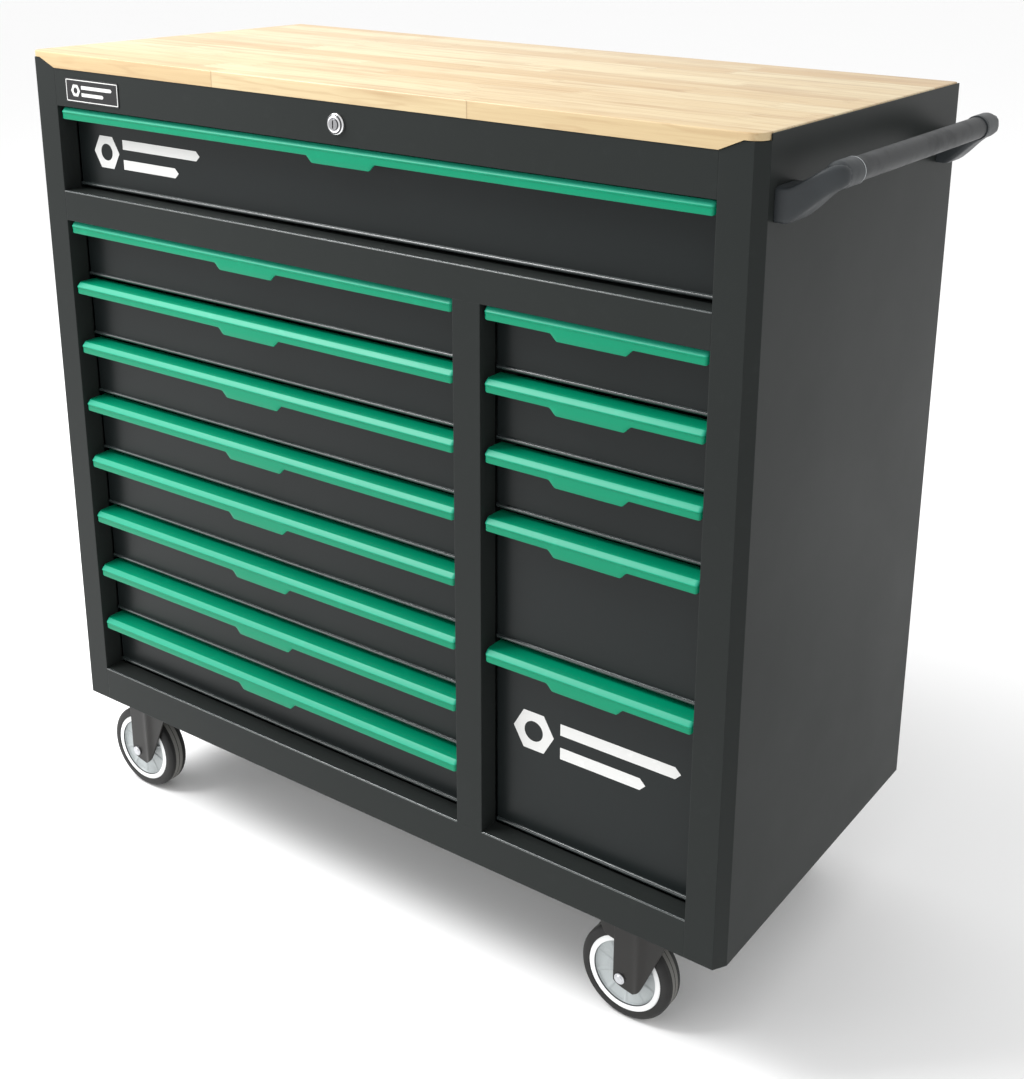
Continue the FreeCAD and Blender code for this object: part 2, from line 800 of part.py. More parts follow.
def build_brake_lever():
    """A curved pedal over the tyre, hung from a pin between the fork's legs."""
    x, y = CORNERS["front_right"]
    axle_x = x - size.trail
    pivot_x, pivot_z = lever_pivot(axle_x)
    inner = size.wheel_radius + size.lever_clear
    outer = inner + size.lever_wall
    half = size.tread / 2
    ring = cut(
        "lever_ring",
        rod("lever_outer", "y", axle_x, y - half, axle_level, outer, size.tread),
        rod("lever_inner", "y", axle_x, y - half - CUT_ROOM, axle_level, inner, size.tread + 2 * CUT_ROOM),
    )
    reach = outer * math.cos(math.radians(LEVER_ANGLE))
    window = box("lever_window", axle_x - reach, y - half, axle_level + reach,
                 reach + pivot_x - axle_x, size.tread, outer)
    shoe = doc.addObject("Part::Common", "lever_shoe")
    shoe.Base = ring
    shoe.Tool = window
    block_bottom = axle_level + inner + size.lever_wall / 2
    block = box("lever_block", pivot_x - size.lever_barrel, y - half, block_bottom,
                2 * size.lever_barrel, size.tread, pivot_z - block_bottom)
    barrel = rod("lever_barrel", "y", pivot_x, y - half, pivot_z, size.lever_barrel, size.tread)
    pin = rod("lever_pin", "y", pivot_x, y - leg_outer, pivot_z, size.lever_pin, 2 * leg_outer)
    keep("brake_lever", fuse("lever_whole", shoe, block, barrel, pin))


def build_caster_plates():
    """The bolted top plates, each with a hole for the king pin, and the sixteen bolts that hold them."""
    plates = []
    bolts = []
    for corner, (x, y) in CORNERS.items():
        name = "caster_plate_" + corner
        half_length = size.plate_length / 2
        half_width = size.plate_width / 2
        slab = box(name, x - half_length, y - half_width, plate_bottom,
                   size.plate_length, size.plate_width, size.plate)
        holes = [rod(name + "_king_hole", "z", x, y, plate_bottom - CUT_ROOM,
                     size.king_radius + size.axle_fit, size.plate + 2 * CUT_ROOM)]
        for number, (sx, sy) in enumerate(((-1, -1), (1, -1), (-1, 1), (1, 1)), start=1):
            bolt_x = x + sx * (half_length - size.bolt_inset)
            bolt_y = y + sy * (half_width - size.bolt_inset)
            holes.append(rod("%s_hole_%d" % (name, number), "z", bolt_x, bolt_y, plate_bottom - CUT_ROOM,
                             size.plate_bolt + size.axle_fit, size.plate + 2 * CUT_ROOM))
            bolt = "caster_bolt_%s_%d" % (corner, number)
            shank = rod(bolt + "_shank", "z", bolt_x, bolt_y, plate_bottom, size.plate_bolt, size.plate)
            head = hexagon(bolt + "_head", "z", bolt_x, bolt_y, plate_bottom - size.head_height,
                           size.bolt_head, size.head_height)
            bolts.append(fuse(bolt, shank, head))
        plates.append(cut(name + "_drilled", slab, *holes))
    keep("caster_plates", group("caster_plate_group", plates))
    keep("caster_bolts", group("caster_bolt_group", bolts))


def build_casters():
    for corner, (x, y) in CORNERS.items():
        build_fork(corner, x, y)
        build_wheel(corner, x, y)
    build_brake_lever()
    build_caster_plates()


# ---------------------------------------------------------------- handle
tube_x = size.width + size.handle_reach
bracket_level = wood_top_level - size.handle_drop
tube_z = bracket_level + size.handle_rise
handle_end = size.depth - size.handle_back
handle_middle = (size.handle_front + handle_end) / 2
collar_start = size.handle_front + size.handle_lean
collar_end = collar_start + size.base_length


def bracket_body():
    """The front bracket: a block on the side panel whose arm rises outwards to a round collar."""
    body = new_body("bracket_arm")
    front = size.handle_front
    low = bracket_level - size.base_height / 2
    high = low + size.base_height
    block = [(front, low), (front + size.base_length, low), (front + size.base_length, high), (front, high)]
    pad(body, "bracket_block", polygon(body, "bracket_foot", "YZ_Plane", block, size.width), size.base_block)
    foot = polygon(body, "arm_foot", "YZ_Plane", block, size.width + size.base_block)
    half = size.arm_end_height / 2
    arm_end = [
        (collar_start, tube_z - half), (collar_end, tube_z - half),
        (collar_end, tube_z + half), (collar_start, tube_z + half),
    ]
    end = polygon(body, "arm_end", "YZ_Plane", arm_end, tube_x - size.arm_end_inset)
    arm = body.newObject("PartDesign::AdditiveLoft", "arm")
    arm.Profile = foot
    arm.Sections = [end]
    arm.Ruled = True
    return body


def build_handle():
    arm = bracket_body()
    length = collar_end - collar_start
    collar = rod("collar", "y", tube_x, collar_start, tube_z, collar_radius, length)
    seat = rod("collar_seat", "y", tube_x, collar_end - size.tube_insert, tube_z,
               size.tube_radius + size.axle_fit, size.tube_insert + CUT_ROOM)
    front = cut("bracket_front", fuse("bracket_whole", arm, collar), seat)
    rear = mirrored("bracket_rear", front, "y", handle_middle)
    keep("handle_brackets", group("bracket_pair", [front, rear]))
    tube_start = collar_end - size.tube_insert
    tube_length = 2 * (handle_middle - tube_start)
    tube = rod("tube_outside", "y", tube_x, tube_start, tube_z, size.tube_radius, tube_length)
    bore = rod("tube_bore", "y", tube_x, tube_start - CUT_ROOM, tube_z,
               size.tube_radius - size.shell, tube_length + 2 * CUT_ROOM)
    keep("handle_tube", cut("tube", tube, bore))
    grip_start = collar_end + size.axle_fit
    grip_length = 2 * (handle_middle - grip_start)
    grip_radius = size.tube_radius + size.grip_wall
    grip = rod("grip_outside", "y", tube_x, grip_start, tube_z, grip_radius, grip_length)
    grip_bore = rod("grip_bore", "y", tube_x, grip_start - CUT_ROOM, tube_z,
                    size.tube_radius + size.axle_fit, grip_length + 2 * CUT_ROOM)
    keep("handle_grip", cut("grip", grip, grip_bore))


# ---------------------------------------------------------------- lock
def build_lock():
    """A round lock in the middle of the top rail: fixed housing, and a plug that turns with its cam."""
    x = size.width / 2
    z = (upper_top + rail_top) / 2
    flange = rod("lock_flange", "y", x, -size.lock_reach, z, size.lock_radius, size.lock_reach)
    barrel = rod("lock_barrel", "y", x, 0, z, size.barrel_radius, size.barrel_length)
    bore = rod("lock_bore", "y", x, -size.lock_reach - CUT_ROOM, z, size.plug_radius + size.axle_fit,
               size.lock_reach + size.barrel_length + 2 * CUT_ROOM)
    keep("lock_housing", cut("lock_shell", fuse("lock_outside", flange, barrel), bore))
    reach = size.lock_reach + size.plug_reach
    plug = rod("plug_core", "y", x, -reach, z, size.plug_radius, reach + size.barrel_length + size.cam_gap)
    slot = box("plug_slot", x - size.key_slot / 2, -reach - CUT_ROOM, z - size.key_height / 2,
               size.key_slot, CUT_ROOM + size.barrel_length / 2, size.key_height)
    cam = box("plug_cam", x - size.plug_radius, size.barrel_length + size.cam_gap, z - size.cam_length,
              2 * size.plug_radius, size.cam_thick, size.cam_length + size.plug_radius)
    keep("lock_plug", fuse("plug_whole", cut("plug_cut", plug, slot), cam))


# ---------------------------------------------------------------- build, test and write
def check_document():
    doc.recompute()
    for obj in doc.Objects:
        if "Invalid" in obj.State or "Error" in obj.State:
            raise ValueError("%s did not build: %s" % (obj.Name, obj.State))
    for name, obj in subparts.items():
        shape = obj.Shape
        if shape.isNull() or not shape.isValid() or not shape.Solids:
            raise ValueError("%s has no valid solid" % name)


def main():
    build_shell()
    build_wood_top()
    build_posts()
    build_drawers()
    build_casters()
    build_handle()
    build_lock()
    check_document()
    os.makedirs("parts", exist_ok=True)
    for name, obj in subparts.items():
        obj.Shape.exportStep("parts/%s.step" % name)
    print("%d sub-parts written" % len(subparts))


main()
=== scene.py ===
"""Looks of the rolling tool chest: powder-coated steel, green edge pulls, a glued-stave top and casters.

Lengths are metres in the chest's own frame: +Z up, the drawers open towards -Y, X from left to right.
Each detailed piece takes its place and size from the box of the CAD node that it stands for.
"""
import json
import math

import bmesh
import bpy
from mathutils import Matrix, Vector


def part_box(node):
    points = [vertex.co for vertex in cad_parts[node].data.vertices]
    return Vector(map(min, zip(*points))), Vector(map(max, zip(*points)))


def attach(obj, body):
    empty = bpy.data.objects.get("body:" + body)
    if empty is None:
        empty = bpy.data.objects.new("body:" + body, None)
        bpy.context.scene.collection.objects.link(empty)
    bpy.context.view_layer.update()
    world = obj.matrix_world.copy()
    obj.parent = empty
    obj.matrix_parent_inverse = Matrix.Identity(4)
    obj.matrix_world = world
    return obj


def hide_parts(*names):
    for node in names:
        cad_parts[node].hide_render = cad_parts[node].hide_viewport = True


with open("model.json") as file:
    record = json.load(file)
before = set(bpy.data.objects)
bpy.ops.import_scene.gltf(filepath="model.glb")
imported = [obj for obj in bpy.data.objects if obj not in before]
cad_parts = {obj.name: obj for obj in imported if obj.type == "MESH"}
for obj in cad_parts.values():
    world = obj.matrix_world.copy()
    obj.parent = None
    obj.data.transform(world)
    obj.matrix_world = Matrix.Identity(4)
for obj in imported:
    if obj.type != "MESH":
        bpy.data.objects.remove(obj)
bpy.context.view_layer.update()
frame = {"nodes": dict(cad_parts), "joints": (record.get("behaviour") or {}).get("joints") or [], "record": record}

MM = 0.001
# Keeps surfaces that touch apart.
SKIN_GAP = 0.02 * MM
CORNERS = ("front_left", "front_right", "rear_left", "rear_right")
DRAWERS = ["top"] + ["left_%d" % n for n in range(1, 9)] + ["right_%d" % n for n in range(1, 6)]


# ---------- camera, floor and lights
CAMERA_PLACE = (1.1395, -1.5041, 1.3170)
CAMERA_TURN = 33.96
CAMERA_DOWN = 17.78
CAMERA_ROLL = 0.90
CAMERA_LENS = 50.65
CAMERA_SHIFT = (-0.0565, -0.1622)
CAMERA_NEAR = 0.05
FLOOR_REACH = 60
PAPER = (0.96, 0.96, 0.96, 1)
PAPER_ROUGHNESS = 0.9
WHITE = (1.0, 1.0, 1.0, 1)
# Each light: its name, its place, the point it faces, its width and height, and its power in watts.
LIGHTS = (
    ("key", (-1.65, -1.15, 2.9), (0, 0, 0.6), (1.7, 1.3), 120),
    ("front_left", (-3.2, -3.0, 1.6), (-0.4, 0, 0.6), (2.0, 2.0), 25))


def make_camera():
    """Stands in front of the right-hand corner and looks down on the wood top."""
    turn = math.radians(CAMERA_TURN)
    down = math.radians(CAMERA_DOWN)
    roll = math.radians(CAMERA_ROLL)
    back = Vector((math.sin(turn) * math.cos(down), -math.cos(turn) * math.cos(down), math.sin(down)))
    right = Vector((math.cos(turn), math.sin(turn), 0))
    up = back.cross(right)
    rolled_right = right * math.cos(roll) + up * math.sin(roll)
    rolled_up = up * math.cos(roll) - right * math.sin(roll)
    data = bpy.data.cameras.new("camera")
    data.lens = CAMERA_LENS
    data.shift_x, data.shift_y = CAMERA_SHIFT
    data.clip_start = CAMERA_NEAR
    camera = bpy.data.objects.new("camera", data)
    camera.matrix_world = Matrix((rolled_right, rolled_up, back)).transposed().to_4x4()
    camera.location = CAMERA_PLACE
    bpy.context.scene.collection.objects.link(camera)
    bpy.context.scene.camera = camera


def make_floor():
    """A sheet of pale paper that reaches far past the chest on every side."""
    sheet = bmesh.new()
    bmesh.ops.create_grid(sheet, x_segments=4, y_segments=4, size=FLOOR_REACH)
    mesh = bpy.data.meshes.new("floor")
    sheet.to_mesh(mesh)
    sheet.free()
    paper = bpy.data.materials.new("floor_paper")
    paper.use_nodes = True
    sockets = paper.node_tree.nodes["Principled BSDF"].inputs
    sockets["Base Color"].default_value = PAPER
    sockets["Roughness"].default_value = PAPER_ROUGHNESS
    mesh.materials.append(paper)
    floor = bpy.data.objects.new("floor", mesh)
    bpy.context.scene.collection.objects.link(floor)


def make_studio():
    """White surroundings, and two soft lights on the left."""
    world = bpy.data.worlds.new("studio")
    world.use_nodes = True
    sockets = world.node_tree.nodes["Background"].inputs
    sockets["Color"].default_value = WHITE
    sockets["Strength"].default_value = 1.0
    scene = bpy.context.scene
    scene.world = world
    scene.view_settings.view_transform = "Standard"
    for name, place, aim, size, power in LIGHTS:
        data = bpy.data.lights.new(name, "AREA")
        data.shape = "RECTANGLE"
        data.size, data.size_y = size
        data.energy = power
        light = bpy.data.objects.new(name, data)
        light.location = place
        light.rotation_mode = "QUATERNION"
        light.rotation_quaternion = (Vector(aim) - Vector(place)).to_track_quat("-Z", "Y")
        scene.collection.objects.link(light)


# ---------- materials
class Material:
    """A node material with a short way of adding nodes and joining them."""

    def __init__(self, name, colour, roughness, metallic=0.0):
        self.material = bpy.data.materials.new(name)
        self.material.use_nodes = True
        self.tree = self.material.node_tree
        self.surface = self.tree.nodes["Principled BSDF"].inputs
        self.surface["Base Color"].default_value = (*colour, 1)
        self.surface["Roughness"].default_value = roughness
        self.surface["Metallic"].default_value = metallic
        self.place = self.add("TexCoord").outputs["Object"]

    def add(self, kind, inputs=(), **settings):
        """Adds a node with its settings, and gives its inputs numbers or other nodes' outputs."""
        node = self.tree.nodes.new("ShaderNode" + kind)
        for key, value in settings.items():
            setattr(node, key, value)
        for key, value in dict(inputs).items():
            self.put(node.inputs[key], value)
        return node

    def put(self, socket, value):
        if isinstance(value, bpy.types.NodeSocket):
            self.tree.links.new(value, socket)
        else:
            socket.default_value = value

    def stretched(self, scale):
        """Object coordinates multiplied by a different number along each axis."""
        return self.add("VectorMath", {0: self.place, 1: scale}, operation="MULTIPLY").outputs["Vector"]

    def shifted(self, scale, offset):
        """Stretched coordinates moved by an offset, so that one pattern looks different in each place."""
        moved = self.add("VectorMath", {0: self.stretched(scale), 1: offset}, operation="ADD")
        return moved.outputs["Vector"]

    def noise(self, scale, detail=2.0, rough=0.5, vector=None):
        inputs = {"Vector": vector or self.place, "Scale": scale, "Detail": detail, "Roughness": rough}
        return self.add("TexNoise", inputs).outputs["Fac"]

    def span(self, value, low, high, start=0.0, end=1.0):
        """Maps a number from low..high to start..end and holds it there."""
        inputs = {"Value": value, "From Min": low, "From Max": high, "To Min": start, "To Max": end}
        return self.add("MapRange", inputs).outputs["Result"]

    def math(self, operation, first, second=0.0):
        return self.add("Math", {0: first, 1: second}, operation=operation).outputs["Value"]

    def mix(self, share, first, second):
        """Goes from the first colour to the second as the share goes from 0 to 1."""
        node = self.add("Mix", data_type="RGBA")
        self.put(node.inputs["Factor"], share)
        for socket, value in ((node.inputs[6], first), (node.inputs[7], second)):
            self.put(socket, value if isinstance(value, bpy.types.NodeSocket) else (*value, 1))
        return node.outputs[2]

    def paint(self, colour, roughness):
        self.put(self.surface["Base Color"], colour)
        self.put(self.surface["Roughness"], roughness)

    def bump(self, height, strength, distance):
        """Adds relief on top of the relief that is already there."""
        inputs = {"Height": height, "Strength": strength, "Distance": distance}
        previous = self.surface["Normal"].links
        if previous:
            inputs["Normal"] = previous[0].from_socket
        self.put(self.surface["Normal"], self.add("Bump", inputs).outputs["Normal"])


def shade_of(colour, factor):
    return tuple(channel * factor for channel in colour)


def edge_mask(paint, radius):
    """1 along outer edges and 0 on flat stretches."""
    rounded = paint.add("Bevel", {"Radius": radius}, samples=4).outputs["Normal"]
    flat = paint.add("NewGeometry").outputs["Normal"]
    agree = paint.add("VectorMath", {0: rounded, 1: flat}, operation="DOT_PRODUCT").outputs["Value"]
    return paint.span(agree, 0.99, 0.86)


# Width of the lightened edges: partly rubbed wear, partly a painted highlight.
WEAR_AND_HIGHLIGHT_EDGE = 1.1 * MM
PEEL_DEPTH = 0.3 * MM


def powder_coat(name, colour, roughness, peel=0.10, shine=0.30, edge_round=1.6 * MM, wear_and_highlight_share=0.55):
    """Satin powder coat: fine orange peel, faint clouds, a little dust, and edges lightened in patches, partly
    rubbed wear and partly a painted highlight.
    """
    paint = Material(name, colour, roughness)
    paint.surface["Specular IOR Level"].default_value = shine
    rounded = paint.add("Bevel", {"Radius": edge_round}, samples=6).outputs["Normal"]
    paint.put(paint.surface["Normal"], rounded)
    clouds = paint.span(paint.noise(2.3, detail=3.0), 0.25, 0.75)
    body = paint.mix(clouds, shade_of(colour, 0.94), shade_of(colour, 1.07))
    dust = paint.span(paint.noise(55.0, detail=5.0, rough=0.65), 0.58, 0.78)
    dusty = paint.mix(paint.math("MULTIPLY", dust, 0.10), body, shade_of(colour, 2.4))
    patches = paint.span(paint.noise(38.0, detail=4.0), 0.42, 0.66, end=wear_and_highlight_share)
    # Lighter paint on the edges in patches: partly rubbed wear, partly a painted highlight.
    edge_wear_and_highlight = paint.math("MULTIPLY", edge_mask(paint, WEAR_AND_HIGHLIGHT_EDGE), patches)
    worn_and_highlit = paint.mix(edge_wear_and_highlight, dusty, shade_of(colour, 2.2))
    handled = paint.noise(7.0, detail=4.0, rough=0.6)
    paint.paint(worn_and_highlit, paint.span(handled, 0.3, 0.75, roughness - 0.025, roughness + 0.035))
    paint.bump(paint.noise(520.0), peel, PEEL_DEPTH)
    return paint.material


WOOD_PALE = (0.560, 0.465, 0.285)
WOOD_WARM = (0.440, 0.295, 0.140)
WOOD_RING = (0.340, 0.205, 0.100)
WOOD_STREAK = (0.290, 0.160, 0.065)
WOOD_SEAM = (0.200, 0.110, 0.050)
WOOD_AVERAGE = (0.50, 0.38, 0.22)
STAVE_WIDTH = 0.045
STAVE_LENGTH = 0.36
ROW_STAGGER = 1.9
JOINT_TOOTH = 0.005
TOOTH_SLOPE = 2.4
RING_COUNT = 38.0
BOARD_SPREAD = (7.0, 7.0, 7.0)


def glued_wood():
    """Staves about 45 mm wide, finger-jointed end to end, each with its own tone and its own grain."""
    wood = Material("glued_wood", WOOD_AVERAGE, 0.36)
    wood.surface["Specular IOR Level"].default_value = 0.35
    parts = wood.add("SeparateXYZ", {"Vector": wood.place}).outputs

    # Where each board begins and ends: rows across the top, and boards of differing length along each row.
    across = wood.math("DIVIDE", parts["Y"], STAVE_WIDTH)
    row = wood.math("FLOOR", across)
    row_pick = wood.add("TexWhiteNoise", {"W": row}, noise_dimensions="1D").outputs["Value"]
    fingers = wood.math("MULTIPLY", wood.math("PINGPONG", parts["Y"], JOINT_TOOTH), TOOTH_SLOPE)
    stagger = wood.math("MULTIPLY", row_pick, ROW_STAGGER)
    along = wood.math("ADD", wood.math("ADD", parts["X"], fingers), stagger)
    length = wood.span(row_pick, 0.0, 1.0, STAVE_LENGTH * 0.75, STAVE_LENGTH * 1.35)
    board = wood.math("DIVIDE", along, length)
    board_key = {"X": row, "Y": wood.math("FLOOR", board), "Z": 3.0}
    key = wood.add("CombineXYZ", board_key).outputs["Vector"]
    pick = wood.add("TexWhiteNoise", {"Vector": key}, noise_dimensions="3D").outputs
    drift = wood.add("VectorMath", {0: pick["Color"], 1: BOARD_SPREAD}, operation="MULTIPLY").outputs[0]

    # The grain: one tone for each board, then growth rings, streaks, flecks and fibres along it.
    tone = wood.span(pick["Value"], 0.15, 1.0, end=0.85)
    base = wood.mix(tone, WOOD_PALE, WOOD_WARM)
    slow = wood.noise(2.6, 3.0, 0.55, wood.shifted((1.3, 15.0, 15.0), drift))
    rings = wood.math("SINE", wood.math("MULTIPLY", slow, RING_COUNT))
    ringed = wood.mix(wood.span(rings, 0.1, 1.0, end=0.26), base, WOOD_RING)
    streaks = wood.span(wood.noise(1.4, 3.0, 0.6, wood.shifted((1.6, 26.0, 26.0), drift)), 0.55, 0.74)
    streaked = wood.mix(wood.math("MULTIPLY", streaks, 0.62), ringed, WOOD_STREAK)
    specks = wood.noise(1.0, 4.0, 0.65, wood.shifted((7.0, 120.0, 120.0), drift))
    flecked = wood.mix(wood.span(specks, 0.60, 0.74, end=0.42), streaked, WOOD_STREAK)
    fibres = wood.noise(2.0, 4.0, 0.6, wood.shifted((5.0, 240.0, 240.0), drift))
    fibred = wood.mix(wood.span(fibres, 0.45, 0.75, end=0.22), flecked, WOOD_RING)

    # The glue lines, beside each row and at the end of each board.
    beside = wood.math("ABSOLUTE", wood.math("SUBTRACT", wood.math("FRACT", across), 0.5))
    beyond = wood.math("ABSOLUTE", wood.math("SUBTRACT", wood.math("FRACT", board), 0.5))
    seam = wood.math("MAXIMUM", wood.span(beside, 0.482, 0.5), wood.span(beyond, 0.4970, 0.5))
    jointed = wood.mix(wood.math("MULTIPLY", seam, 0.62), fibred, WOOD_SEAM)
    wood.paint(jointed, wood.span(fibres, 0.3, 0.8, 0.30, 0.44))
    wood.bump(fibres, 0.10, 0.25 * MM)
    wood.bump(wood.math("SUBTRACT", 1.0, seam), 0.25, 0.2 * MM)
    return wood.material


def plastic(name, colour, roughness, grain=0.14, grain_scale=900.0):
    """Moulded plastic or rubber: a fine moulded texture, faint flow marks and a little grime."""
    moulded = Material(name, colour, roughness)
    moulded.surface["Specular IOR Level"].default_value = 0.36
    flow = moulded.span(moulded.noise(9.0), 0.35, 0.65)
    body = moulded.mix(flow, shade_of(colour, 0.92), shade_of(colour, 1.08))
    grime = moulded.span(moulded.noise(26.0, detail=5.0, rough=0.62), 0.48, 0.75)
    used = moulded.mix(moulded.math("MULTIPLY", grime, 0.30), body, shade_of(colour, 0.62))
    moulded.paint(used, moulded.span(grime, 0.0, 1.0, roughness, min(1.0, roughness + 0.15)))
    moulded.bump(moulded.noise(grain_scale), grain, 0.25 * MM)
    return moulded.material


def metal(name, colour, roughness, stretch=(1.0, 1.0, 1.0)):
    """Plated or drawn metal, with fine scratches that run along the axis where stretch is small."""
    plate = Material(name, colour, roughness, metallic=1.0)
    stain = plate.span(plate.noise(31.0, detail=4.0, rough=0.6), 0.4, 0.72)
    tinted = plate.mix(plate.math("MULTIPLY", stain, 0.35), colour, shade_of(colour, 0.66))
    scratches = plate.noise(420.0, 3.0, 0.6, plate.stretched(stretch))
    plate.paint(tinted, plate.span(scratches, 0.3, 0.7, roughness * 0.8, roughness * 1.3))
    plate.bump(scratches, 0.05, 0.1 * MM)
    return plate.material


CHARCOAL = (0.0180, 0.0205, 0.0198)
SLATE = (0.0085, 0.0110, 0.0112)
COATS = {
    "cabinet_paint": dict(colour=CHARCOAL, roughness=0.36, shine=0.08),
    "drawer_paint": dict(colour=SLATE, roughness=0.30, shine=0.17),
    # Three times the drawer paint's colour: a painted highlight for the beads and rail bends.
    "bead_paint": dict(colour=shade_of(SLATE, 3.0), roughness=0.24, peel=0.02, shine=1.0, wear_and_highlight_share=0.08),
    "caster_paint": dict(colour=(0.0115, 0.0105, 0.0095), roughness=0.34),
    "pull_green": dict(colour=(0.0005, 0.215, 0.110), roughness=0.32, peel=0.05, shine=0.16,
                       edge_round=0.6 * MM),
    # A lighter green than the pull: a painted highlight for the slanted nose.
    "pull_nose": dict(colour=(0.014, 0.300, 0.185), roughness=0.42, peel=0.03, shine=0.24,
                      edge_round=0.6 * MM),
    "print_white": dict(colour=(0.62, 0.62, 0.61), roughness=0.45, peel=0.05, edge_round=0.1 * MM),
    "badge_dark": dict(colour=(0.010, 0.010, 0.011), roughness=0.25, peel=0.03, edge_round=0.3 * MM)}
METALS = {
    "zinc": dict(colour=(0.60, 0.61, 0.63), roughness=0.34, stretch=(1.0, 0.06, 1.0)),
    "lock_chrome": dict(colour=(0.80, 0.80, 0.81), roughness=0.14),
    "plug_steel": dict(colour=(0.30, 0.30, 0.31), roughness=0.30),
    "tube_steel": dict(colour=(0.48, 0.48, 0.49), roughness=0.30, stretch=(1.0, 0.04, 1.0))}
PLASTICS = {
    "bracket_plastic": dict(colour=(0.022, 0.026, 0.029), roughness=0.42),
    "grip_rubber": dict(colour=(0.012, 0.014, 0.0155), roughness=0.46, grain=0.16, grain_scale=700.0),
    "collar_ring": dict(colour=(0.30, 0.32, 0.33), roughness=0.40),
    "hub_plastic": dict(colour=(0.40, 0.43, 0.435), roughness=0.25, grain=0.06),
    "ring_white": dict(colour=(0.80, 0.81, 0.81), roughness=0.30, grain=0.05),
    "tyre_rubber": dict(colour=(0.0085, 0.0082, 0.0080), roughness=0.55, grain=0.18, grain_scale=600.0),
    "tread_worn": dict(colour=(0.15, 0.148, 0.138), roughness=0.75, grain=0.30, grain_scale=500.0),
    # Dark paint for narrow grooves: painted shade in the wheel's ring groove and in the lock's groove.
    "groove_dark": dict(colour=(0.05, 0.052, 0.055), roughness=0.60, grain=0.05)}


def make_materials():
    """Every finish in the scene, by name."""
    looks = {"top_wood": glued_wood()}
    for make, recipes in ((powder_coat, COATS), (metal, METALS), (plastic, PLASTICS)):
        for name, recipe in recipes.items():
            looks[name] = make(name, **recipe)
    return looks


# ---------- mesh helpers
SHARP_ANGLE = math.radians(35)
EASE_ANGLE = math.radians(30)


def add_piece(name, mesh, looks, body, stands_for=()):
    """Turns finished mesh work into a smooth-shaded piece with hard edges, which rides on a body."""
    bmesh.ops.recalc_face_normals(mesh, faces=mesh.faces)
    mesh.normal_update()
    for face in mesh.faces:
        face.smooth = True
    for edge in mesh.edges:
        edge.smooth = len(edge.link_faces) == 2 and edge.calc_face_angle(0.0) < SHARP_ANGLE
    data = bpy.data.meshes.new(name)
    mesh.to_mesh(data)
    mesh.free()
    for look in looks:
        data.materials.append(look)
    obj = bpy.data.objects.new(name, data)
    bpy.context.scene.collection.objects.link(obj)
    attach(obj, body)
    if stands_for:
        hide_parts(*stands_for)


def ease_edges(obj, width):
    modifier = obj.modifiers.new("eased edges", "BEVEL")
    modifier.width = width
    modifier.segments = 2
    modifier.limit_method = "ANGLE"
    modifier.angle_limit = EASE_ANGLE


def skin(mesh, rings, closed=False, strips=None):
    """Joins equal rings of points with quads, and the last ring to the first one when closed.

    strips gives the material number of each strip of quads that runs from ring to ring.
    """
    verts = [[mesh.verts.new(point) for point in ring] for ring in rings]
    count = len(verts[0])
    pairs = list(zip(verts, verts[1:]))
    if closed:
        pairs.append((verts[-1], verts[0]))
    for first, second in pairs:
        for k in range(count):
            after = (k + 1) % count
            face = mesh.faces.new((first[k], first[after], second[after], second[k]))
            if strips:
                face.material_index = strips[k]
    return verts


def cap_ends(mesh, verts):
    """Closes both ends of a skinned bar with one face each."""
    mesh.faces.new(verts[0])
    mesh.faces.new(verts[-1])


def cap_walls(mesh, verts):
    """Closes both ends of a bent sheet, whose rings run out along one side and back along the other."""
    count = len(verts[0])
    for ring in (verts[0], verts[-1]):
        for k in range(count // 2 - 1):
            mesh.faces.new((ring[k], ring[k + 1], ring[count - 2 - k], ring[count - 1 - k]))


def round_angles(steps):
    """The angles of equal steps once round a circle."""
    return [2 * math.pi * step / steps for step in range(steps)]


def about_y(centre, angle, profile):
    """(radius, along) points turned to an angle about the Y axis through the centre."""
    cosine, sine = math.cos(angle), math.sin(angle)
    return [Vector((centre.x + r * cosine, centre.y + along, centre.z + r * sine)) for r, along in profile]


def lathe(mesh, centre, profile, steps, strips=None):
    """Turns a closed outline of (radius, along) points about the Y axis through the centre."""
    rings = [about_y(centre, angle, profile) for angle in round_angles(steps)]
    skin(mesh, rings, closed=True, strips=strips)


def mirrored(half):
    """A half outline of (radius, along) points, followed by its mirror image on the other side."""
    return [(r, -along) for r, along in half] + [(r, along) for r, along in reversed(half)]


def arc(centre, radius, start, end, steps):
    """Points on a circle in a plane, from one angle in degrees to another."""
    points = []
    for step in range(steps + 1):
        angle = math.radians(start + (end - start) * step / steps)
        points.append((centre[0] + radius * math.cos(angle), centre[1] + radius * math.sin(angle)))
    return points


def flat_shape(mesh, points, y, thickness, material=0):
    """A plate with an outline in X and Z: its rear face is at y, and it stands out towards the front."""
    front = [mesh.verts.new((x, y - thickness, z)) for x, z in points]
    back = [mesh.verts.new((x, y, z)) for x, z in points]
    mesh.faces.new(front).material_index = material
    mesh.faces.new(back[::-1]).material_index = material
    for k in range(len(points)):
        after = (k + 1) % len(points)
        mesh.faces.new((front[k], back[k], back[after], front[after])).material_index = material


def middle_of(node):
    low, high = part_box(node)
    return (low + high) / 2


def half_depth(node):
    low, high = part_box(node)
    return (high.y - low.y) / 2


def half_height(node):
    low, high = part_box(node)
    return (high.z - low.z) / 2


# ---------- pulls
PULL_WALL = 1.8 * MM
PULL_SLANT = 5.4 * MM
PULL_SHELF = 6.0 * MM
PULL_STEP = 0.8 * MM
NOTCH_DROP = 1.0 * MM
NOTCH_HEIGHT = 0.7 * MM
LIP_EDGE = 0.9 * MM
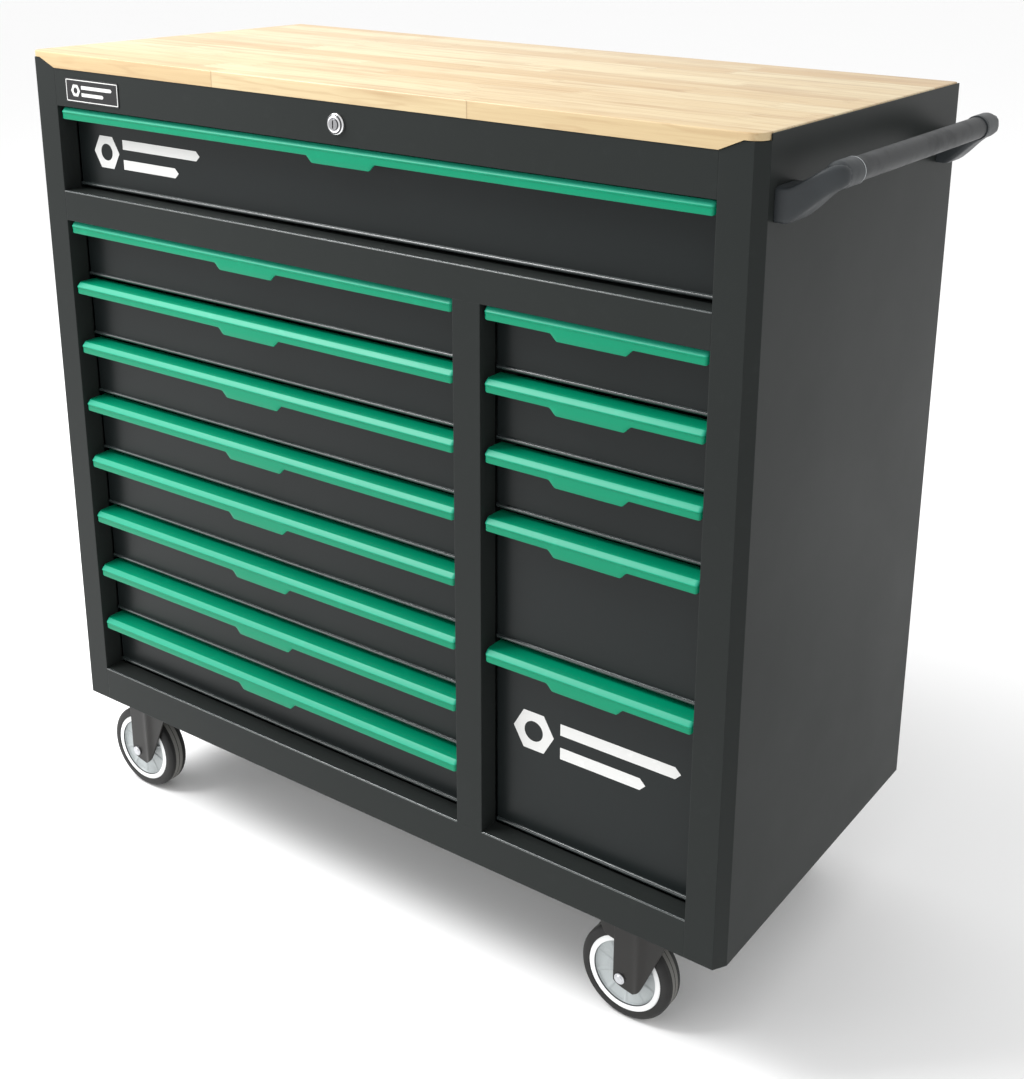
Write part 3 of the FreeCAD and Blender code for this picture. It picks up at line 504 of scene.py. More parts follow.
# The slanted nose in section, as shares of its size: how far back from the front, how far below the top.
SLANT_SHAPE = (
    (1.06, 0.0), (0.95, 0.03), (0.86, 0.09), (0.50, 0.45), (0.12, 0.83), (0.04, 0.92), (0.0, 1.0))
# A face is slanted when the product of its normal's Y and Z is larger than this.
SLANT_LEAN = 0.12
TAB_DEPTH = 8.0 * MM
TAB_HALF = 43.0 * MM
TAB_SLOPE = 9.0 * MM
PLAN_ROUND = 4.5 * MM
LIP_ROUND = 4.0 * MM
END_STEPS = 7
SLOPE_STEPS = 8


def pull_columns(start, end):
    """Places across a pull: close together at its rounded ends and at the two slopes of its tab."""
    middle = (start + end) / 2
    left = []
    for step in range(END_STEPS + 1):
        left.append(start + PLAN_ROUND * 1.1 * (1 - math.cos(math.pi / 2 * step / END_STEPS)))
    left.append((start + middle - TAB_HALF - TAB_SLOPE) / 2)
    for step in range(SLOPE_STEPS + 1):
        left.append(middle - TAB_HALF - TAB_SLOPE * 1.12 + TAB_SLOPE * 1.24 * step / SLOPE_STEPS)
    left.append(middle)
    return left + [start + end - place for place in reversed(left[:-1])]


def corner_cut(from_end, radius):
    """How far an end rounded to a radius stays back, at a distance from that end."""
    if from_end >= radius:
        return 0.0
    return radius - math.sqrt(max(0.0, radius ** 2 - (radius - from_end) ** 2))


def lip_bottom(place, low, high):
    """Height of the lip's lower edge: straight, deeper at the tab, and rounded up at the two ends."""
    from_middle = abs(place - (low.x + high.x) / 2)
    slope = min(1.0, max(0.0, (from_middle - TAB_HALF) / TAB_SLOPE))
    eased = 0.6 * slope + 0.4 * slope * slope * (3 - 2 * slope)
    return low.z + TAB_DEPTH * eased + corner_cut(min(place - low.x, high.x - place), LIP_ROUND)


def pull_ring(place, low, high):
    """The pull's section at one place: outer skin from the rear to the lip, then the inner skin back."""
    rear, top = high.y, high.z
    front = low.y + corner_cut(min(place - low.x, high.x - place), PLAN_ROUND)
    shelf = front + PULL_SLANT + PULL_SHELF
    band = [(front + PULL_SLANT * back, top - PULL_SLANT * down) for back, down in SLANT_SHAPE]
    notch = top - PULL_SLANT - NOTCH_DROP
    bottom = lip_bottom(place, low, high)
    middle = (notch + bottom) / 2
    face = front + PULL_STEP
    outer = [(rear, top), (shelf, top)] + band + [
        (front, notch), (face, notch - NOTCH_HEIGHT), (face, middle), (face, bottom + LIP_EDGE),
        (face + 0.25 * MM, bottom + 0.25 * MM), (face + LIP_EDGE, bottom)]
    inner_face = face + PULL_WALL
    inner = [(rear, top - PULL_WALL), (shelf, top - PULL_WALL)]
    inner += [(y + PULL_WALL * 0.75, z - PULL_WALL * 0.75) for y, z in band]
    inner[2] = (inner[2][0], top - PULL_WALL)
    inner += [
        (inner_face, notch), (inner_face, notch - NOTCH_HEIGHT), (inner_face, middle),
        (inner_face, bottom + 0.6 * MM), (face + PULL_WALL * 0.93, bottom + 0.2 * MM),
        (face + PULL_WALL * 0.8, bottom)]
    return [Vector((place, y, z)) for y, z in outer + inner[::-1]]


def make_pull(label, looks):
    """A green pull with a finger tab in the middle; the faces of its slanted nose get a lighter green as a painted
    highlight.
    """
    low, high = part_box("pull_" + label)
    mesh = bmesh.new()
    cap_walls(mesh, skin(mesh, [pull_ring(place, low, high) for place in pull_columns(low.x, high.x)]))
    mesh.normal_update()
    for face in mesh.faces:
        middle = face.calc_center_median()
        in_nose = low.y <= middle.y < low.y + PULL_SLANT and high.z - PULL_SLANT - 0.2 * MM < middle.z
        # The slanted nose gets the lighter green of the painted highlight.
        if in_nose and abs(face.normal.y * face.normal.z) > SLANT_LEAN:
            face.material_index = 1
    add_piece("edge_pull_" + label, mesh, [looks["pull_green"], looks["pull_nose"]], "drawer_" + label,
              ["pull_" + label])


BEAD_OUT = 2.4 * MM
BEAD_HALF = 2.1 * MM
BEAD_SKIN = 0.6 * MM
BEAD_ROOT = 0.4 * MM
BEAD_TAPER = 0.8 * MM
BEAD_END_SHARE = 0.55
BEAD_STEPS = 12


def make_bead(label, looks):
    """The rolled edge along the bottom of a drawer front, in a lighter, glossier paint that gives a painted
    highlight along it.
    """
    low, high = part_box("drawer_" + label)
    root = low.y + BEAD_OUT
    level = low.z + BEAD_HALF
    section = [(root + BEAD_ROOT, level + BEAD_HALF)]
    for step in range(BEAD_STEPS + 1):
        angle = math.pi * step / BEAD_STEPS
        section.append((root - (BEAD_OUT + BEAD_SKIN) * math.sin(angle),
                        level + (BEAD_HALF + BEAD_SKIN) * math.cos(angle)))
    section.append((root + BEAD_ROOT, level - BEAD_HALF))
    ends = ((low.x, BEAD_END_SHARE), (low.x + BEAD_TAPER, 1.0), (high.x - BEAD_TAPER, 1.0),
            (high.x, BEAD_END_SHARE))
    rings = []
    for place, share in ends:
        rings.append([Vector((place, root + (y - root) * share, level + (z - level) * share))
                      for y, z in section])
    mesh = bmesh.new()
    cap_ends(mesh, skin(mesh, rings))
    add_piece("front_bead_" + label, mesh, [looks["bead_paint"]], "drawer_" + label)


# ---------- casters
WHEEL_STEPS = 240
RIBS = 10
RIB_HEIGHT = 1.1 * MM
RIB_NARROWNESS = 5.0
RIB_START = 17 * MM
RIB_END = 42 * MM
GROOVE_START = 42.4 * MM
GROOVE_END = 43.1 * MM
RIM_INSET = 0.6 * MM
SHOULDER = 7.0 * MM


def wheel_profile(rim, half_hub, half_rim):
    """Half outline of the wheel centre, from the bore to the rim: (radius, depth from the middle plane)."""
    return [
        (4.06 * MM, half_hub), (9.0 * MM, half_hub), (10.2 * MM, half_hub - 1.0 * MM),
        (13.5 * MM, half_hub - 2.4 * MM), (16.0 * MM, half_hub - 5.2 * MM),
        (18.0 * MM, half_rim - 6.6 * MM), (38.5 * MM, half_rim - 5.4 * MM),
        (41.5 * MM, half_rim - 4.6 * MM), (42.6 * MM, half_rim - 2.2 * MM),
        (43.2 * MM, half_rim - 0.4 * MM), (44.2 * MM, half_rim), (rim - 1.2 * MM, half_rim),
        (rim - 0.35 * MM, half_rim - 0.5 * MM), (rim, half_rim - 1.6 * MM)]


def make_wheel(corner, looks):
    """The moulded centre with its ribs and its white ring."""
    core = "wheel_core_" + corner
    centre = middle_of(core)
    half = wheel_profile(half_height(core), half_depth(core), half_depth("tyre_" + corner) - RIM_INSET)
    rings = []
    for step, angle in enumerate(round_angles(WHEEL_STEPS)):
        from_rib = abs(((step * RIBS / WHEEL_STEPS) % 1) - 0.5) * 2
        rib = RIB_HEIGHT * max(0.0, 1 - from_rib * RIB_NARROWNESS) ** 0.5
        ribbed = [(r, depth + (rib if RIB_START < r < RIB_END else 0.0)) for r, depth in half]
        rings.append(about_y(centre, angle, mirrored(ribbed)))
    mesh = bmesh.new()
    skin(mesh, rings, closed=True)
    for face in mesh.faces:
        away = face.calc_center_median() - centre
        reach = math.hypot(away.x, away.z)
        # The narrow groove inside the white ring is painted dark as a painted shadow line.
        if reach > GROOVE_START:
            face.material_index = 1 if reach > GROOVE_END else 2
    add_piece("wheel_centre_" + corner, mesh,
              [looks["hub_plastic"], looks["ring_white"], looks["groove_dark"]],
              "wheel_" + corner, [core])


def make_tyre(corner, looks):
    """The tyre, with rounded shoulders and a lighter grey tread on each side of its seam."""
    core = "wheel_core_" + corner
    tyre = "tyre_" + corner
    radius = half_height(tyre)
    width = half_depth(tyre)
    seat = half_height(core) + SKIN_GAP
    side = [(seat, width - 0.7 * MM), (seat + 0.8 * MM, width), (seat + 4.0 * MM, width)]
    side += arc((radius - SHOULDER, width - SHOULDER), SHOULDER, 78, 12, 6)
    side += [(radius - 0.45 * MM, 6.9 * MM), (radius - 0.4 * MM, 6.5 * MM), (radius, 6.1 * MM)]
    side += [(radius, 0.5 * MM), (radius - 0.5 * MM, 0.3 * MM)]
    outline = mirrored(side)
    strips = [0] * len(outline)
    for tread in (len(side) - 3, len(side) + 1):
        strips[tread] = 1
    mesh = bmesh.new()
    lathe(mesh, middle_of(core), outline, steps=120, strips=strips)
    add_piece("tyre_ring_" + corner, mesh, [looks["tyre_rubber"], looks["tread_worn"]],
              "wheel_" + corner, [tyre])


LEG_ROWS = 30
LEG_COLUMNS = 16
LEG_WALL = 2.4 * MM
LEG_INSET = 1.3 * MM
LEG_LEFT = -10.0 * MM
LEG_RIGHT = 24.0 * MM
LEG_SPREAD = 0.42
TIP_START = 4.0 * MM
TIP_REACH = 27.0 * MM
TIP_CURVE = 2.4
TIP_SHARE = 0.10
TIP_CUT = 6.0 * MM
ROW_CURVE = 1.8
CREASE = 25.0 * MM
PRESS_DEPTH = 2.6 * MM
PRESS_EASE = 7.0 * MM
BULGE_HEIGHT = 1.3 * MM
BULGE_WIDTH = 4.5 * MM
PIVOT_INSET = 30.0 * MM
CROWN_DROP = 6.0 * MM
# The crown and the ball race above it, in millimetres: radius, and height above the crown's level.
CROWN_SHAPE = (
    (0.3, -6.0), (24.0, -6.0), (28.5, -5.0), (30.0, -2.6), (29.4, -0.6), (26.5, 0.6), (26.0, 1.4),
    (26.0, 4.4), (25.0, 5.6), (6.4, 5.6), (6.0, 6.0))


def leg_edges(level, axle, tip, crown):
    """Left and right edge of a fork leg at one height, measured from the axle."""
    left = LEG_LEFT
    drop = axle.z - level
    if drop > TIP_START:
        left += TIP_REACH * ((drop - TIP_START) / (axle.z - tip - TIP_START)) ** TIP_CURVE
    risen = (level - tip) / (crown - tip)
    right = LEG_RIGHT + (crown - tip) * LEG_SPREAD * risen
    if risen < TIP_SHARE:
        right -= TIP_CUT * (1 - risen / TIP_SHARE) ** 2
    return left, max(left + 1.0 * MM, right)


def leg_ring(side, level, edges, axle, outer):
    """One level of a leg on one side of the wheel: along its pressed outside and back along its inside."""
    left, right = edges
    outside, inside = [], []
    for column in range(LEG_COLUMNS + 1):
        across = left + (right - left) * (column / LEG_COLUMNS)
        from_crease = across - CREASE
        inward = PRESS_DEPTH * (1 - math.exp(-max(0.0, from_crease) / PRESS_EASE))
        bulge = BULGE_HEIGHT * math.exp(-(from_crease / BULGE_WIDTH) ** 2)
        depth = outer - LEG_INSET - inward + bulge
        outside.append(Vector((axle.x + across, axle.y + side * depth, level)))
        inside.append(Vector((axle.x + across, axle.y + side * (depth - LEG_WALL), level)))
    return outside + inside[::-1]


def make_fork(corner, looks):
    """Two pressed legs with a soft crease, joined by a domed crown under a ball race."""
    fork = "fork_" + corner
    low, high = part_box(fork)
    plate_low, plate_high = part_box("caster_plates")
    axle = middle_of("axle_bolt_" + corner)
    outer = half_depth(fork)
    crown = plate_low.z - CROWN_DROP
    mesh = bmesh.new()
    for side in (-1, 1):
        rings = []
        for row in range(LEG_ROWS + 1):
            level = low.z + (crown - 1.5 * MM - low.z) * (row / LEG_ROWS) ** ROW_CURVE
            edges = leg_edges(level, axle, low.z, crown)
            rings.append(leg_ring(side, level, edges, axle, outer))
        cap_walls(mesh, skin(mesh, rings))
    add_crown(mesh, Vector((high.x - PIVOT_INSET, axle.y, crown)), plate_high.z)
    add_piece("caster_fork_" + corner, mesh, [looks["caster_paint"], looks["zinc"]],
              "swivel_" + corner, [fork])


def add_crown(mesh, place, plate_top):
    """A pressed dome, the rim of the ball race above it, and the king pin that holds it to the plate."""
    profile = [(r * MM, up * MM) for r, up in CROWN_SHAPE]
    profile += [(6.0 * MM, plate_top - place.z), (0.3 * MM, plate_top - place.z)]
    rings = []
    for angle in round_angles(64):
        cosine, sine = math.cos(angle), math.sin(angle)
        rings.append([place + Vector((r * cosine, r * sine, up)) for r, up in profile])
    skin(mesh, rings, closed=True)


BOLT_FLAT = 5.3 * MM
BOLT_CORNER = 5.95 * MM


def make_axle_bolt(corner, looks):
    """Hexagon head with a chamfer and a washer on each side, on one shank."""
    bolt = "axle_bolt_" + corner
    centre = middle_of(bolt)
    half = half_depth(bolt)
    face = half_depth("fork_" + corner)
    rings = []
    for angle in round_angles(48):
        turn = (angle + math.pi / 6) % (math.pi / 3) - math.pi / 6
        hexagon = min(BOLT_FLAT / math.cos(turn), BOLT_CORNER)
        shape = [
            (0.4 * MM, half), (BOLT_FLAT * 0.86, half), (min(hexagon, BOLT_FLAT * 1.01), half - 0.9 * MM),
            (hexagon, half - 1.5 * MM), (hexagon, face + 1.4 * MM), (6.7 * MM, face + 1.2 * MM),
            (7.0 * MM, face + 0.9 * MM), (7.0 * MM, face - 0.9 * MM), (4.0 * MM, face - 1.0 * MM)]
        rings.append(about_y(centre, angle, mirrored(shape)))
    mesh = bmesh.new()
    skin(mesh, rings, closed=True)
    add_piece("axle_" + corner, mesh, [looks["zinc"]], "swivel_" + corner, [bolt])


# A cheek of the brake pedal, in millimetres from the wheel's centre along X and Z.
BRAKE_CHEEK = (
    (-10.5, 45.5), (-20.0, 47.0), (-26.5, 49.2), (-29.5, 53.0), (-32.5, 60.0), (-34.0, 66.0),
    (-31.5, 69.5), (-14.0, 74.5), (-4.0, 76.0), (0.5, 74.5), (2.0, 70.0), (-3.0, 60.0), (-8.0, 52.0))
SHOE_START = 122
SHOE_SWEEP = 30
SHOE_ROWS = 12
SHOE_COLUMNS = 8
SHOE_GAP = 2.6 * MM
SHOE_SKIN = 1.2 * MM
SHOE_LIP = 2.0 * MM
SHOE_LIP_SHARE = 0.2
SHOE_CROWN = 0.7 * MM


def shoe_ring(share, core, radius, half):
    """One section of the pedal's shoe, from its lifted lip (share 0) to its hinge side (share 1)."""
    angle = math.radians(SHOE_START - SHOE_SWEEP * share)
    spoke = Vector((math.cos(angle), 0, math.sin(angle)))
    lift = SHOE_SKIN + SHOE_LIP * max(0.0, SHOE_LIP_SHARE - share) / SHOE_LIP_SHARE
    outer, inner = [], []
    for column in range(SHOE_COLUMNS + 1):
        across = -1 + 2 * column / SHOE_COLUMNS
        place = core + Vector((0, across * (half + 1.0 * MM), 0))
        outer.append(place + spoke * (radius + lift + SHOE_CROWN * (1 - across ** 2)))
        inner.append(place + spoke * (radius + lift - SHOE_SKIN))
    return outer + inner[::-1]


def make_brake_lever(looks):
    """A pressed pedal curled over the tyre, with two cheeks, a web up to its hinge barrel, and the pin."""
    core = middle_of("tyre_front_right")
    radius = half_height("tyre_front_right") + SHOE_GAP
    half = half_depth("tyre_front_right")
    pin = Vector(next(j for j in frame["joints"] if j["name"] == "brake_lift")["pos_m"])
    hinge = Vector((pin.x, core.y, pin.z))
    mesh = bmesh.new()
    rings = [shoe_ring(row / SHOE_ROWS, core, radius, half) for row in range(SHOE_ROWS + 1)]
    cap_walls(mesh, skin(mesh, rings))
    cheek = [(core.x + x * MM, core.z + z * MM) for x, z in BRAKE_CHEEK]
    for side in (-1, 1):
        near, far = side * (half + 0.8 * MM), side * (half + 2.6 * MM)
        flat_shape(mesh, cheek, core.y + max(near, far), abs(far - near))
    barrel = [(2.05 * MM, half), (3.6 * MM, half), (4.0 * MM, half - 0.5 * MM)]
    lathe(mesh, hinge, mirrored(barrel), steps=32)
    reach = half_depth("fork_front_right") + 0.3 * MM
    pin_end = [(0.2 * MM, reach), (1.7 * MM, reach), (2.0 * MM, reach - 0.4 * MM)]
    lathe(mesh, hinge, mirrored(pin_end), steps=24)
    web_low = core.z + radius + 0.6 * MM
    web = bmesh.ops.create_cube(mesh, size=1.0)["verts"]
    bmesh.ops.scale(mesh, vec=(5.0 * MM, 2 * half * 0.92, pin.z - web_low), verts=web)
    bmesh.ops.translate(mesh, vec=(pin.x, core.y, (pin.z + web_low) / 2), verts=web)
    add_piece("brake_pedal", mesh, [looks["caster_paint"]], "brake", ["brake_lever"])


# ---------- handle
# Sections of a bracket's arm, from the side panel outwards, in millimetres: how far out, the front and rear
# face measured from the bracket's front, half the height, how far it has risen to the tube, and squareness.
ARM_SECTIONS = (
    (0.0, 0.4, 50.6, 17.6, 0.0, 9.0),
    (0.5, 0.0, 51.0, 18.0, 0.0, 9.0),
    (9.0, 0.0, 51.0, 18.0, 0.0, 9.0),
    (13.0, 0.5, 51.0, 17.9, 0.02, 8.5),
    (18.0, 2.5, 51.0, 17.6, 0.12, 7.5),
    (25.0, 5.6, 50.8, 17.0, 0.30, 6.5),
    (33.0, 9.0, 50.0, 16.0, 0.52, 5.5),
    (41.0, 12.4, 48.0, 14.8, 0.74, 4.8),
    (48.0, 15.4, 45.5, 13.6, 0.89, 4.2),
    (54.0, 18.4, 42.5, 12.2, 0.97, 3.6),
    (58.5, 21.6, 40.0, 10.4, 1.0, 3.0),
    (61.8, 25.0, 38.0, 7.4, 1.0, 2.6),
    (63.4, 29.0, 36.5, 3.4, 1.0, 2.2))
FOOT_HALF = 18.0 * MM
COLLAR_START = 26.0 * MM
COLLAR_BORE = 10.6 * MM
COLLAR_SEAT = 22.0 * MM
RING_DEPTH = 0.7 * MM
RING_STRIPS = (8, 9, 10)


def rounded_outline(half_y, half_z, power):
    """A rounded rectangle: an ellipse at power 2, squarer as the power grows."""
    points = []
    for angle in round_angles(40):
        cosine, sine = math.cos(angle), math.sin(angle)
        points.append((half_y * math.copysign(abs(cosine) ** (2 / power), cosine),
                       half_z * math.copysign(abs(sine) ** (2 / power), sine)))
    return points


def collar_profile(collar, along, grip_wall):
    """The collar in section, from inside the arm to the end of the grip: (radius, distance along)."""
    return [
        (0.3 * MM, 0.0), (collar * 0.55, 0.0), (collar * 0.85, 1.6 * MM), (collar * 0.97, 5.0 * MM),
        (collar, 9.0 * MM), (collar, along - 3.4 * MM), (collar - RING_DEPTH, along - 3.0 * MM),
        (collar - RING_DEPTH, along - 2.6 * MM), (collar, along - 2.2 * MM), (collar, along - 0.5 * MM),
        (collar - 0.5 * MM, along - 0.05 * MM), (grip_wall, along), (COLLAR_BORE, along - 0.6 * MM),
        (COLLAR_BORE, along - COLLAR_SEAT), (0.3 * MM, along - COLLAR_SEAT)]


def make_brackets(looks):
    """Each bracket: a block on the side panel whose arm sweeps out and up and ends round the collar."""
    low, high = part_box("handle_brackets")
    grip_low, grip_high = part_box("handle_grip")
    tube = middle_of("handle_tube")
    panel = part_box("side_panel_right")[1].x
    foot_z = low.z + FOOT_HALF
    mesh = bmesh.new()
    for side, front, grip_end in ((-1, low.y, grip_low.y), (1, high.y, grip_high.y)):
        rings = []
        for out, near, far, half_z, rise, power in ARM_SECTIONS:
            centre = Vector((panel + out * MM, front - side * (near + far) / 2 * MM,
                             foot_z + (tube.z - foot_z) * rise))
            outline = rounded_outline((far - near) / 2 * MM, half_z * MM, power)
            rings.append([centre + Vector((0, y, z)) for y, z in outline])
        cap_ends(mesh, skin(mesh, rings))
        start = front - side * COLLAR_START
        along = abs(start - grip_end) - 0.1 * MM
        profile = collar_profile(high.x - tube.x, along, grip_high.x - tube.x - 1.6 * MM)
        outline = [(r, start - side * distance - tube.y) for r, distance in profile]
        has_light_ring = side < 0
        strips = [1 if has_light_ring and k in RING_STRIPS else 0 for k in range(len(outline))]
        lathe(mesh, tube, outline, steps=72, strips=strips)
    add_piece("grab_brackets", mesh, [looks["bracket_plastic"], looks["collar_ring"]],
              "cabinet", ["handle_brackets"])


GRIP_ROUND = 0.8 * MM
GRIP_RINGS = 16


def make_grip(looks):
    """The rubber sleeve between the two collars, with its ends rounded off."""
    half = half_depth("handle_grip")
    radius = half_height("handle_grip")
    outline = [(COLLAR_BORE, -half), (radius - GRIP_ROUND, -half), (radius, -half + GRIP_ROUND)]
    for step in range(1, GRIP_RINGS):
        outline.append((radius, -half + GRIP_ROUND + (2 * half - 2 * GRIP_ROUND) * step / GRIP_RINGS))
    outline += [(radius, half - GRIP_ROUND), (radius - GRIP_ROUND, half), (COLLAR_BORE, half)]
    mesh = bmesh.new()
    lathe(mesh, middle_of("handle_grip"), outline, steps=72)
    add_piece("grip_sleeve", mesh, [looks["grip_rubber"]], "cabinet", ["handle_grip"])


# ---------- wood top and rail edges
CORNER_ROUND = 16.0 * MM
REAR_ROUND = 2.4 * MM
COLUMN_RISE = 11.9 * MM
COLUMN_DEPTH = 18.6 * MM
COLUMN_INNER = 47.6 * MM
COLUMN_OUTER = 20.6 * MM
# The slab's rounded upper edge: how far below the top, and how far in from the side.
SLAB_EDGE = ((1.7 * MM, 0.0), (0.85 * MM, 0.2 * MM), (0.3 * MM, 0.7 * MM), (0.0, 1.7 * MM))


def slab_outline(low, high, inset):
    """The wood top seen from above: generous front corners and tight rear ones."""
    points = []
    for centre, radius, start in (
            ((low.x + CORNER_ROUND, low.y + CORNER_ROUND), CORNER_ROUND, 180),
            ((high.x - CORNER_ROUND, low.y + CORNER_ROUND), CORNER_ROUND, 270),
            ((high.x - REAR_ROUND, high.y - REAR_ROUND), REAR_ROUND, 0),
            ((low.x + REAR_ROUND, high.y - REAR_ROUND), REAR_ROUND, 90)):
        points += arc(centre, radius - inset, start, start + 90, 10)
    return points


def make_wood_top(looks):
    """A slab with rounded front corners that sits on the two columns, with a thicker part between them."""
    low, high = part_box("wood_top")
    left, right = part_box("side_panel_left")[0].x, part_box("side_panel_right")[1].x
    shelf = low.z + COLUMN_RISE
    levels = [(shelf, 0.0)] + [(high.z - down, inset) for down, inset in SLAB_EDGE]
    mesh = bmesh.new()
    cap_ends(mesh, skin(mesh, [[Vector((x, y, level)) for x, y in slab_outline(low, high, inset)]
                               for level, inset in levels]))
    between_columns = [(left + COLUMN_INNER, low.z), (right - COLUMN_INNER, low.z),
                       (right - COLUMN_OUTER, shelf), (left + COLUMN_OUTER, shelf)]
    flat_shape(mesh, between_columns, low.y + COLUMN_DEPTH, COLUMN_DEPTH)
    behind_columns = [(low.x, low.z), (high.x, low.z), (high.x, shelf), (low.x, shelf)]
    flat_shape(mesh, behind_columns, high.y, high.y - low.y - COLUMN_DEPTH)
    add_piece("wood_slab", mesh, [looks["top_wood"]], "cabinet", ["wood_top"])


BEND_ROUND = 1.5 * MM
BEND_DEPTH = 1.2 * MM
BEND_PAST = 3.0 * MM
BEND_BELOW = 4.5 * MM
BEND_STEPS = 10
HALF_TURN_STEPS = 16
BEND_START = 0.02
# Each bend's name and the drawer above it, which gives its length.
RAIL_BENDS = (("middle", "drawer_top"), ("lower_left", "drawer_left_8"), ("lower_right", "drawer_right_5"))


def make_rail_edges(looks):
    """The bend along the top of a rail, where the steel turns back under the drawer above, in the lighter paint
    that gives a painted highlight along it.
    """
    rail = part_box("face_frame")[0]
    for name, drawer in RAIL_BENDS:
        low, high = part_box(drawer)
        centre_y = rail.y + BEND_DEPTH
        centre_z = low.z - BEND_BELOW - BEND_DEPTH
        section = [(centre_y + 0.8 * MM, centre_z + BEND_ROUND * 0.9)]
        for step in range(BEND_STEPS):
            angle = math.pi * (step / HALF_TURN_STEPS + BEND_START)
            section.append((centre_y - BEND_ROUND * math.sin(angle),
                            centre_z + BEND_ROUND * math.cos(angle)))
        section.append((centre_y, centre_z - BEND_ROUND * 0.5))
        ends = (low.x - BEND_PAST, high.x + BEND_PAST)
        mesh = bmesh.new()
        cap_ends(mesh, skin(mesh, [[Vector((x, y, z)) for y, z in section] for x in ends]))
        add_piece("rail_bend_" + name, mesh, [looks["bead_paint"]], "cabinet")


# ---------- lock
LOCK_BORE = 6.56 * MM
LOCK_BARREL = 9.4 * MM
LOCK_GROOVE_STRIPS = (3, 4)


def make_lock(looks):
    """A turned housing with a raised rim, a groove painted dark as painted shade, and a flange on the rail."""
    low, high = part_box("lock_housing")
    centre = Vector(((low.x + high.x) / 2, 0, (low.z + high.z) / 2))
    radius = half_height("lock_housing")
    front, rear = low.y, high.y
    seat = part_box("face_frame")[0].y - SKIN_GAP
    profile = [
        (LOCK_BORE, front + 0.8 * MM), (7.4 * MM, front + 0.1 * MM), (8.6 * MM, front),
        (9.6 * MM, front + 0.5 * MM), (10.2 * MM, front + 1.5 * MM), (11.2 * MM, front + 1.7 * MM),
        (radius - 0.7 * MM, front + 2.2 * MM), (radius, front + 3.2 * MM), (radius, seat),
        (LOCK_BARREL, seat), (LOCK_BARREL, rear), (LOCK_BORE, rear)]
    # The groove's strips get the dark paint of painted shade.
    strips = [1 if k in LOCK_GROOVE_STRIPS else 0 for k in range(len(profile))]
    mesh = bmesh.new()
    lathe(mesh, centre, profile, steps=72, strips=strips)
    add_piece("lock_body", mesh, [looks["lock_chrome"], looks["groove_dark"]], "cabinet",
              ["lock_housing"])


# ---------- printed marks
NUT_HOLE = 0.46
NUT_GAP = 0.16
BAR_LEVEL = 0.27
BAR_HALF = 0.13
SHORT_BAR = 0.72
PRINT_DEPTH = 0.12 * MM
FRONT_SETBACK = 2.4 * MM
# Each mark: the drawer, its place across and up the front as shares of its size, and its height and length.
MARKS = (
    ("top", 0.030, 0.47, 48.0 * MM, 198.0 * MM),
    ("right_5", 0.088, 0.585, 58.0 * MM, 230.0 * MM))
BADGE_LEFT = 67.5 * MM
BADGE_BELOW_LOCK = 1.7 * MM
BADGE_SIZE = (101.0 * MM, 31.0 * MM)
BADGE_THICKNESS = 0.8 * MM
BADGE_MARGIN = 1.6 * MM
BADGE_LINE = 1.1 * MM
BADGE_PRINT = 0.1 * MM


def nut_ring(mesh, centre, radius, y, thickness, material):
    """A hexagon nut seen face on: six sides outside and a round hole."""
    rings = []
    for angle in round_angles(48):
        turn = angle % (math.pi / 3) - math.pi / 6
        hole = radius * NUT_HOLE
        outer = radius * math.cos(math.pi / 6) / math.cos(turn)
        cosine, sine = math.cos(angle), math.sin(angle)
        rings.append([
            Vector((centre[0] + hole * cosine, y - thickness, centre[1] + hole * sine)),
            Vector((centre[0] + outer * cosine, y - thickness, centre[1] + outer * sine)),
            Vector((centre[0] + outer * cosine, y, centre[1] + outer * sine)),
            Vector((centre[0] + hole * cosine, y, centre[1] + hole * sine))])
    skin(mesh, rings, closed=True, strips=[material] * 4)


def emblem(mesh, left, middle_z, height, length, y, thickness, material=0):
    """A plain sign: a nut followed by two bars with pointed ends."""
    radius = height / 2
    nut_ring(mesh, (left + radius, middle_z), radius, y, thickness, material)
    start = left + 2 * radius + NUT_GAP * height
    end = left + length
    point = BAR_HALF * height
    for offset, share in ((BAR_LEVEL, 1.0), (-BAR_LEVEL, SHORT_BAR)):
        low = middle_z + offset * height - BAR_HALF * height
        high = middle_z + offset * height + BAR_HALF * height
        tip = start + (end - start) * share
        outline = [(start, low), (tip - point, low), (tip, (low + high) / 2),
                   (tip - point, high), (start, high)]
        flat_shape(mesh, outline, y, thickness, material)


def make_prints(looks):
    """The white marks on the top drawer and on the lowest drawer at the right."""
    for label, left_share, level_share, height, length in MARKS:
        low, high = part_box("drawer_" + label)
        left = low.x + left_share * (high.x - low.x)
        level = low.z + level_share * (high.z - low.z)
        mesh = bmesh.new()
        emblem(mesh, left, level, height, length, low.y + FRONT_SETBACK, PRINT_DEPTH)
        add_piece("drawer_mark_" + label, mesh, [looks["print_white"]], "drawer_" + label)


def rounded_box(left, bottom, right, top, inset, radius):
    """The outline of a rectangle with rounded corners, drawn in from its sides by an inset."""
    west, east = left + inset + radius, right - inset - radius
    south, north = bottom + inset + radius, top - inset - radius
    points = []
    for quarter, centre in enumerate(((east, north), (west, north), (west, south), (east, south))):
        points += arc(centre, radius, 90 * quarter, 90 * quarter + 90, 5)
    return points


